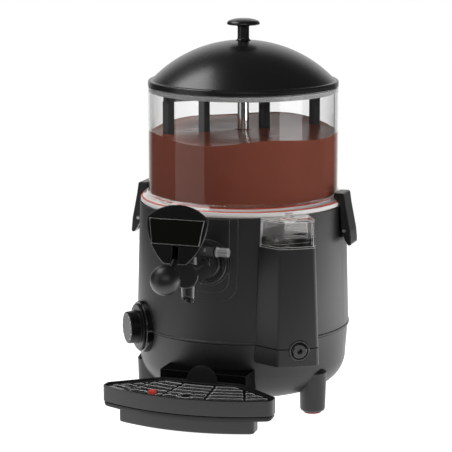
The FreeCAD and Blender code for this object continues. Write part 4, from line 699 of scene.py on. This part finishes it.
# ---------------------------------------------------------------- level line
# One plain line printed across the front of the water container, a little above the water, in ink as
# flat and black as the slot's painted shade. Each of its points is found on the wall, so that the ink
# follows it.
container_corner = Vector((0.08855, -0.05217, water_level + 0.0055))
container_front = Vector((0.0313, 0.01937, 0))
inwards = Vector((-0.02, 0.03, 0))
line_start, line_length = 0.42, 0.36
half_line, ink = 0.0008, 0.0001
line_steps = 12
line = bmesh.new()
rows = []
for step in range(line_steps + 1):
    share = line_start + line_length * step / line_steps
    outside = container_corner + container_front * share - inwards
    _, spot, normal, _ = nodes["water_container"].ray_cast(outside, inwards.normalized())
    on_wall = spot + normal * ink
    rows.append([line.verts.new(on_wall + Vector((0, 0, rise))) for rise in (-half_line, half_line)])
for before, after in zip(rows, rows[1:]):
    line.faces.new((before[0], after[0], after[1], before[1]))
level_line = as_piece("level_line", line, slot_shade_and_ink)
thicken = level_line.modifiers.new("print", "SOLIDIFY")
thicken.thickness = ink
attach(level_line, "housing")

# ---------------------------------------------------------------- clips
# Hooked levers that turn on steel pins in brackets on the housing's sides, and hold the bowl's flange
# down. They are moulded in the housing's black, with a smoother face.
clip_black = plastic(
    "clip_black_plastic",
    (0.006, 0.006, 0.006),
    roughness=0.34,
    grain=0.0008,
    depth=0.00002,
    edge=0.003,
)
finish_node(clip_black, "right_clip_lever", "left_clip_lever", "clip_brackets")

# ---------------------------------------------------------------- drip tray
# A black moulded tray that slides on to its bracket, and off again to be emptied. A band of painted
# shade marks a groove round it just above its rounded foot, which is duller than the wall.
tray_low, _ = heights("drip_tray")
groove_shade_low, groove_shade_high = tray_low + 0.0056, tray_low + 0.0066
tray_black = plastic(
    "lined_black_plastic",
    (0.008, 0.008, 0.0081),
    roughness=0.42,
    grain=0.0009,
    depth=0.00005,
    edge=0.0012,
)
banded(tray_black, tray_low - 0.0010, groove_shade_low, (0.010, 0.010, 0.010), 0.5)
# The groove's dark line is painted shade.
banded(tray_black, groove_shade_low, groove_shade_high, shadow_black, 1)
finish_node(tray_black, "drip_tray")

# ---------------------------------------------------------------- tray bracket
# A black moulding that stands out from the pan under the tray and rises behind it. Its upper part,
# behind the grid, has painted shade for the tray's shadow, and its corners have a painted highlight.
bracket_low, bracket_high = heights("tray_support")
support_black = plastic(
    "support_black_plastic",
    (0.006, 0.006, 0.0062),
    roughness=0.45,
    grain=0.0009,
    depth=0.00005,
    edge=0.0008,
    edge_highlight=0.3,
)
# Painted shade over the upper part, which lies in the tray's shadow.
banded(support_black, bracket_low + 0.0270, bracket_high + 0.0050, shadow_black, 0.8)
finish_node(support_black, "tray_support")

# ---------------------------------------------------------------- grid and float
# A moulded grid drops into the tray, shinier than it from wiping, with a painted highlight along the
# edges of its bars. A red float lifts through the grid as the tray fills.
grid_black = plastic(
    "wiped_black_plastic",
    (0.006, 0.006, 0.006),
    roughness=0.14,
    grain=0.0015,
    depth=0.00002,
    edge=0.0018,
    edge_highlight=1,
)
finish_node(grid_black, "drip_grid")
float_red = plastic("red_float_plastic", (0.85, 0.07, 0.05), roughness=0.3, grain=0.001, depth=0.00001)
finish_node(float_red, "tray_float")

# ---------------------------------------------------------------- table
# A round white table top, large enough for the shadow. The eye and clear plastic see it as white, a
# little darker only where the shadow lies, and gloss sees it a little brighter.
table_radius = 0.8
gloss_brightness = 1.45
white_table, tree, shader = started("white_table")
shader.inputs["Base Color"].default_value = (0.8, 0.8, 0.8, 1)
shader.inputs["Roughness"].default_value = 0.7
shader.inputs["Specular IOR Level"].default_value = 0.1
shader.inputs["Emission Color"].default_value = (1, 1, 1, 1)
path = tree.nodes.new("ShaderNodeLightPath")
seen = worked_out(tree, "MAXIMUM", path.outputs["Is Camera Ray"], path.outputs["Is Transmission Ray"])
mirrored = worked_out(tree, "MULTIPLY", path.outputs["Is Glossy Ray"], gloss_brightness)
tree.links.new(worked_out(tree, "MAXIMUM", seen, mirrored), shader.inputs["Emission Strength"])
table = bmesh.new()
bmesh.ops.create_circle(table, cap_ends=True, segments=96, radius=table_radius)
table_top = as_piece("table_top", table, white_table)
table_top.location = (0, 0.3, 0)

# ---------------------------------------------------------------- studio
# A white sweep stands behind the machine and the room in front of it is dark. The eye sees white all
# round, also through the clear pieces, while gloss shows the sweep and the lamps only.
camera_turn = math.radians(18.5)
sweep_tilt = -0.13
# How far a direction points towards the camera where the sweep is still white, and where it has ended.
sweep_white, sweep_end = -0.97, -0.78
room_light = 0.06
world = bpy.data.worlds.new("studio")
bpy.context.scene.world = world
world.use_nodes = True
tree = world.node_tree
tree.nodes.clear()
place = tree.nodes.new("ShaderNodeTexCoord")
towards = tree.nodes.new("ShaderNodeVectorMath")
towards.operation = "DOT_PRODUCT"
towards.inputs[1].default_value = (math.sin(camera_turn), -math.cos(camera_turn), sweep_tilt)
tree.links.new(place.outputs["Generated"], towards.inputs[0])
facing = towards.outputs["Value"]
sweep = mapped(tree, facing, low=sweep_white, high=sweep_end, start=1, end=room_light)
path = tree.nodes.new("ShaderNodeLightPath")
bounces = worked_out(tree, "ADD", path.outputs["Diffuse Depth"], path.outputs["Glossy Depth"])
unbounced = worked_out(tree, "LESS_THAN", bounces, 0.5)
through = worked_out(tree, "MULTIPLY", unbounced, path.outputs["Is Transmission Ray"])
plain_white = worked_out(tree, "MAXIMUM", path.outputs["Is Camera Ray"], through)
background = tree.nodes.new("ShaderNodeBackground")
background.inputs["Color"].default_value = (1, 1, 1, 1)
tree.links.new(worked_out(tree, "MAXIMUM", sweep, plain_white), background.inputs["Strength"])
world_out = tree.nodes.new("ShaderNodeOutputWorld")
tree.links.new(background.outputs["Background"], world_out.inputs["Surface"])


def softbox(name, spot, aim, width, height, power):
    """A rectangular studio lamp at spot, turned to face aim: metres and watts."""
    lamp = bpy.data.lights.new(name, "AREA")
    lamp.shape = "RECTANGLE"
    lamp.size = width
    lamp.size_y = height
    lamp.energy = power
    holder = bpy.data.objects.new(name, lamp)
    holder.location = spot
    holder.rotation_euler = (Vector(aim) - Vector(spot)).to_track_quat("-Z", "Y").to_euler()
    bpy.context.scene.collection.objects.link(holder)
    return holder


middle = (0, 0.05, 0.25)
softbox("front_softbox", (0.60, -1.62, 1.05), middle, width=1.6, height=0.7, power=7.5)
right_fill = softbox("right_fill", (2.05, -0.37, 0.5), middle, width=1.2, height=1.2, power=18)
right_fill.visible_glossy = False
softbox("left_softbox", (-0.996, -0.836, 0.35), (0, 0.05, 0.35), width=1.0, height=1.6, power=3.8)
softbox("top_left_softbox", (-0.84, -0.12, 1.53), middle, width=1.0, height=0.7, power=12)
panel_spot = (0.72, 0.35, 0.02)
straight_up = (panel_spot[0], panel_spot[1], 1)
right_panel = softbox("right_panel", panel_spot, straight_up, width=0.7, height=1.0, power=7)
right_panel.visible_camera = False
right_panel.visible_transmission = False

# ---------------------------------------------------------------- camera
# A long lens from a little above the lid and to the right of the tap, pointed at the machine's middle
# and tilted down.
eye = bpy.data.cameras.new("camera")
eye.lens = 159.8
eye.sensor_width = 36
eye.clip_end = 50
camera = bpy.data.objects.new("camera", eye)
camera.location = (0.7615, -2.202, 0.6757)
left_turn = math.radians(0.495)
pitch = math.radians(10.93)
side = Vector((math.cos(camera_turn), math.sin(camera_turn), 0))
ahead = Vector((-math.sin(camera_turn), math.cos(camera_turn), 0))
level = ahead * math.cos(left_turn) - side * math.sin(left_turn)
sight = level * math.cos(pitch) - Vector((0, 0, math.sin(pitch)))
camera.rotation_euler = sight.to_track_quat("-Z", "Y").to_euler()
bpy.context.scene.collection.objects.link(camera)
bpy.context.scene.camera = camera
bpy.context.scene.view_settings.view_transform = "Standard"
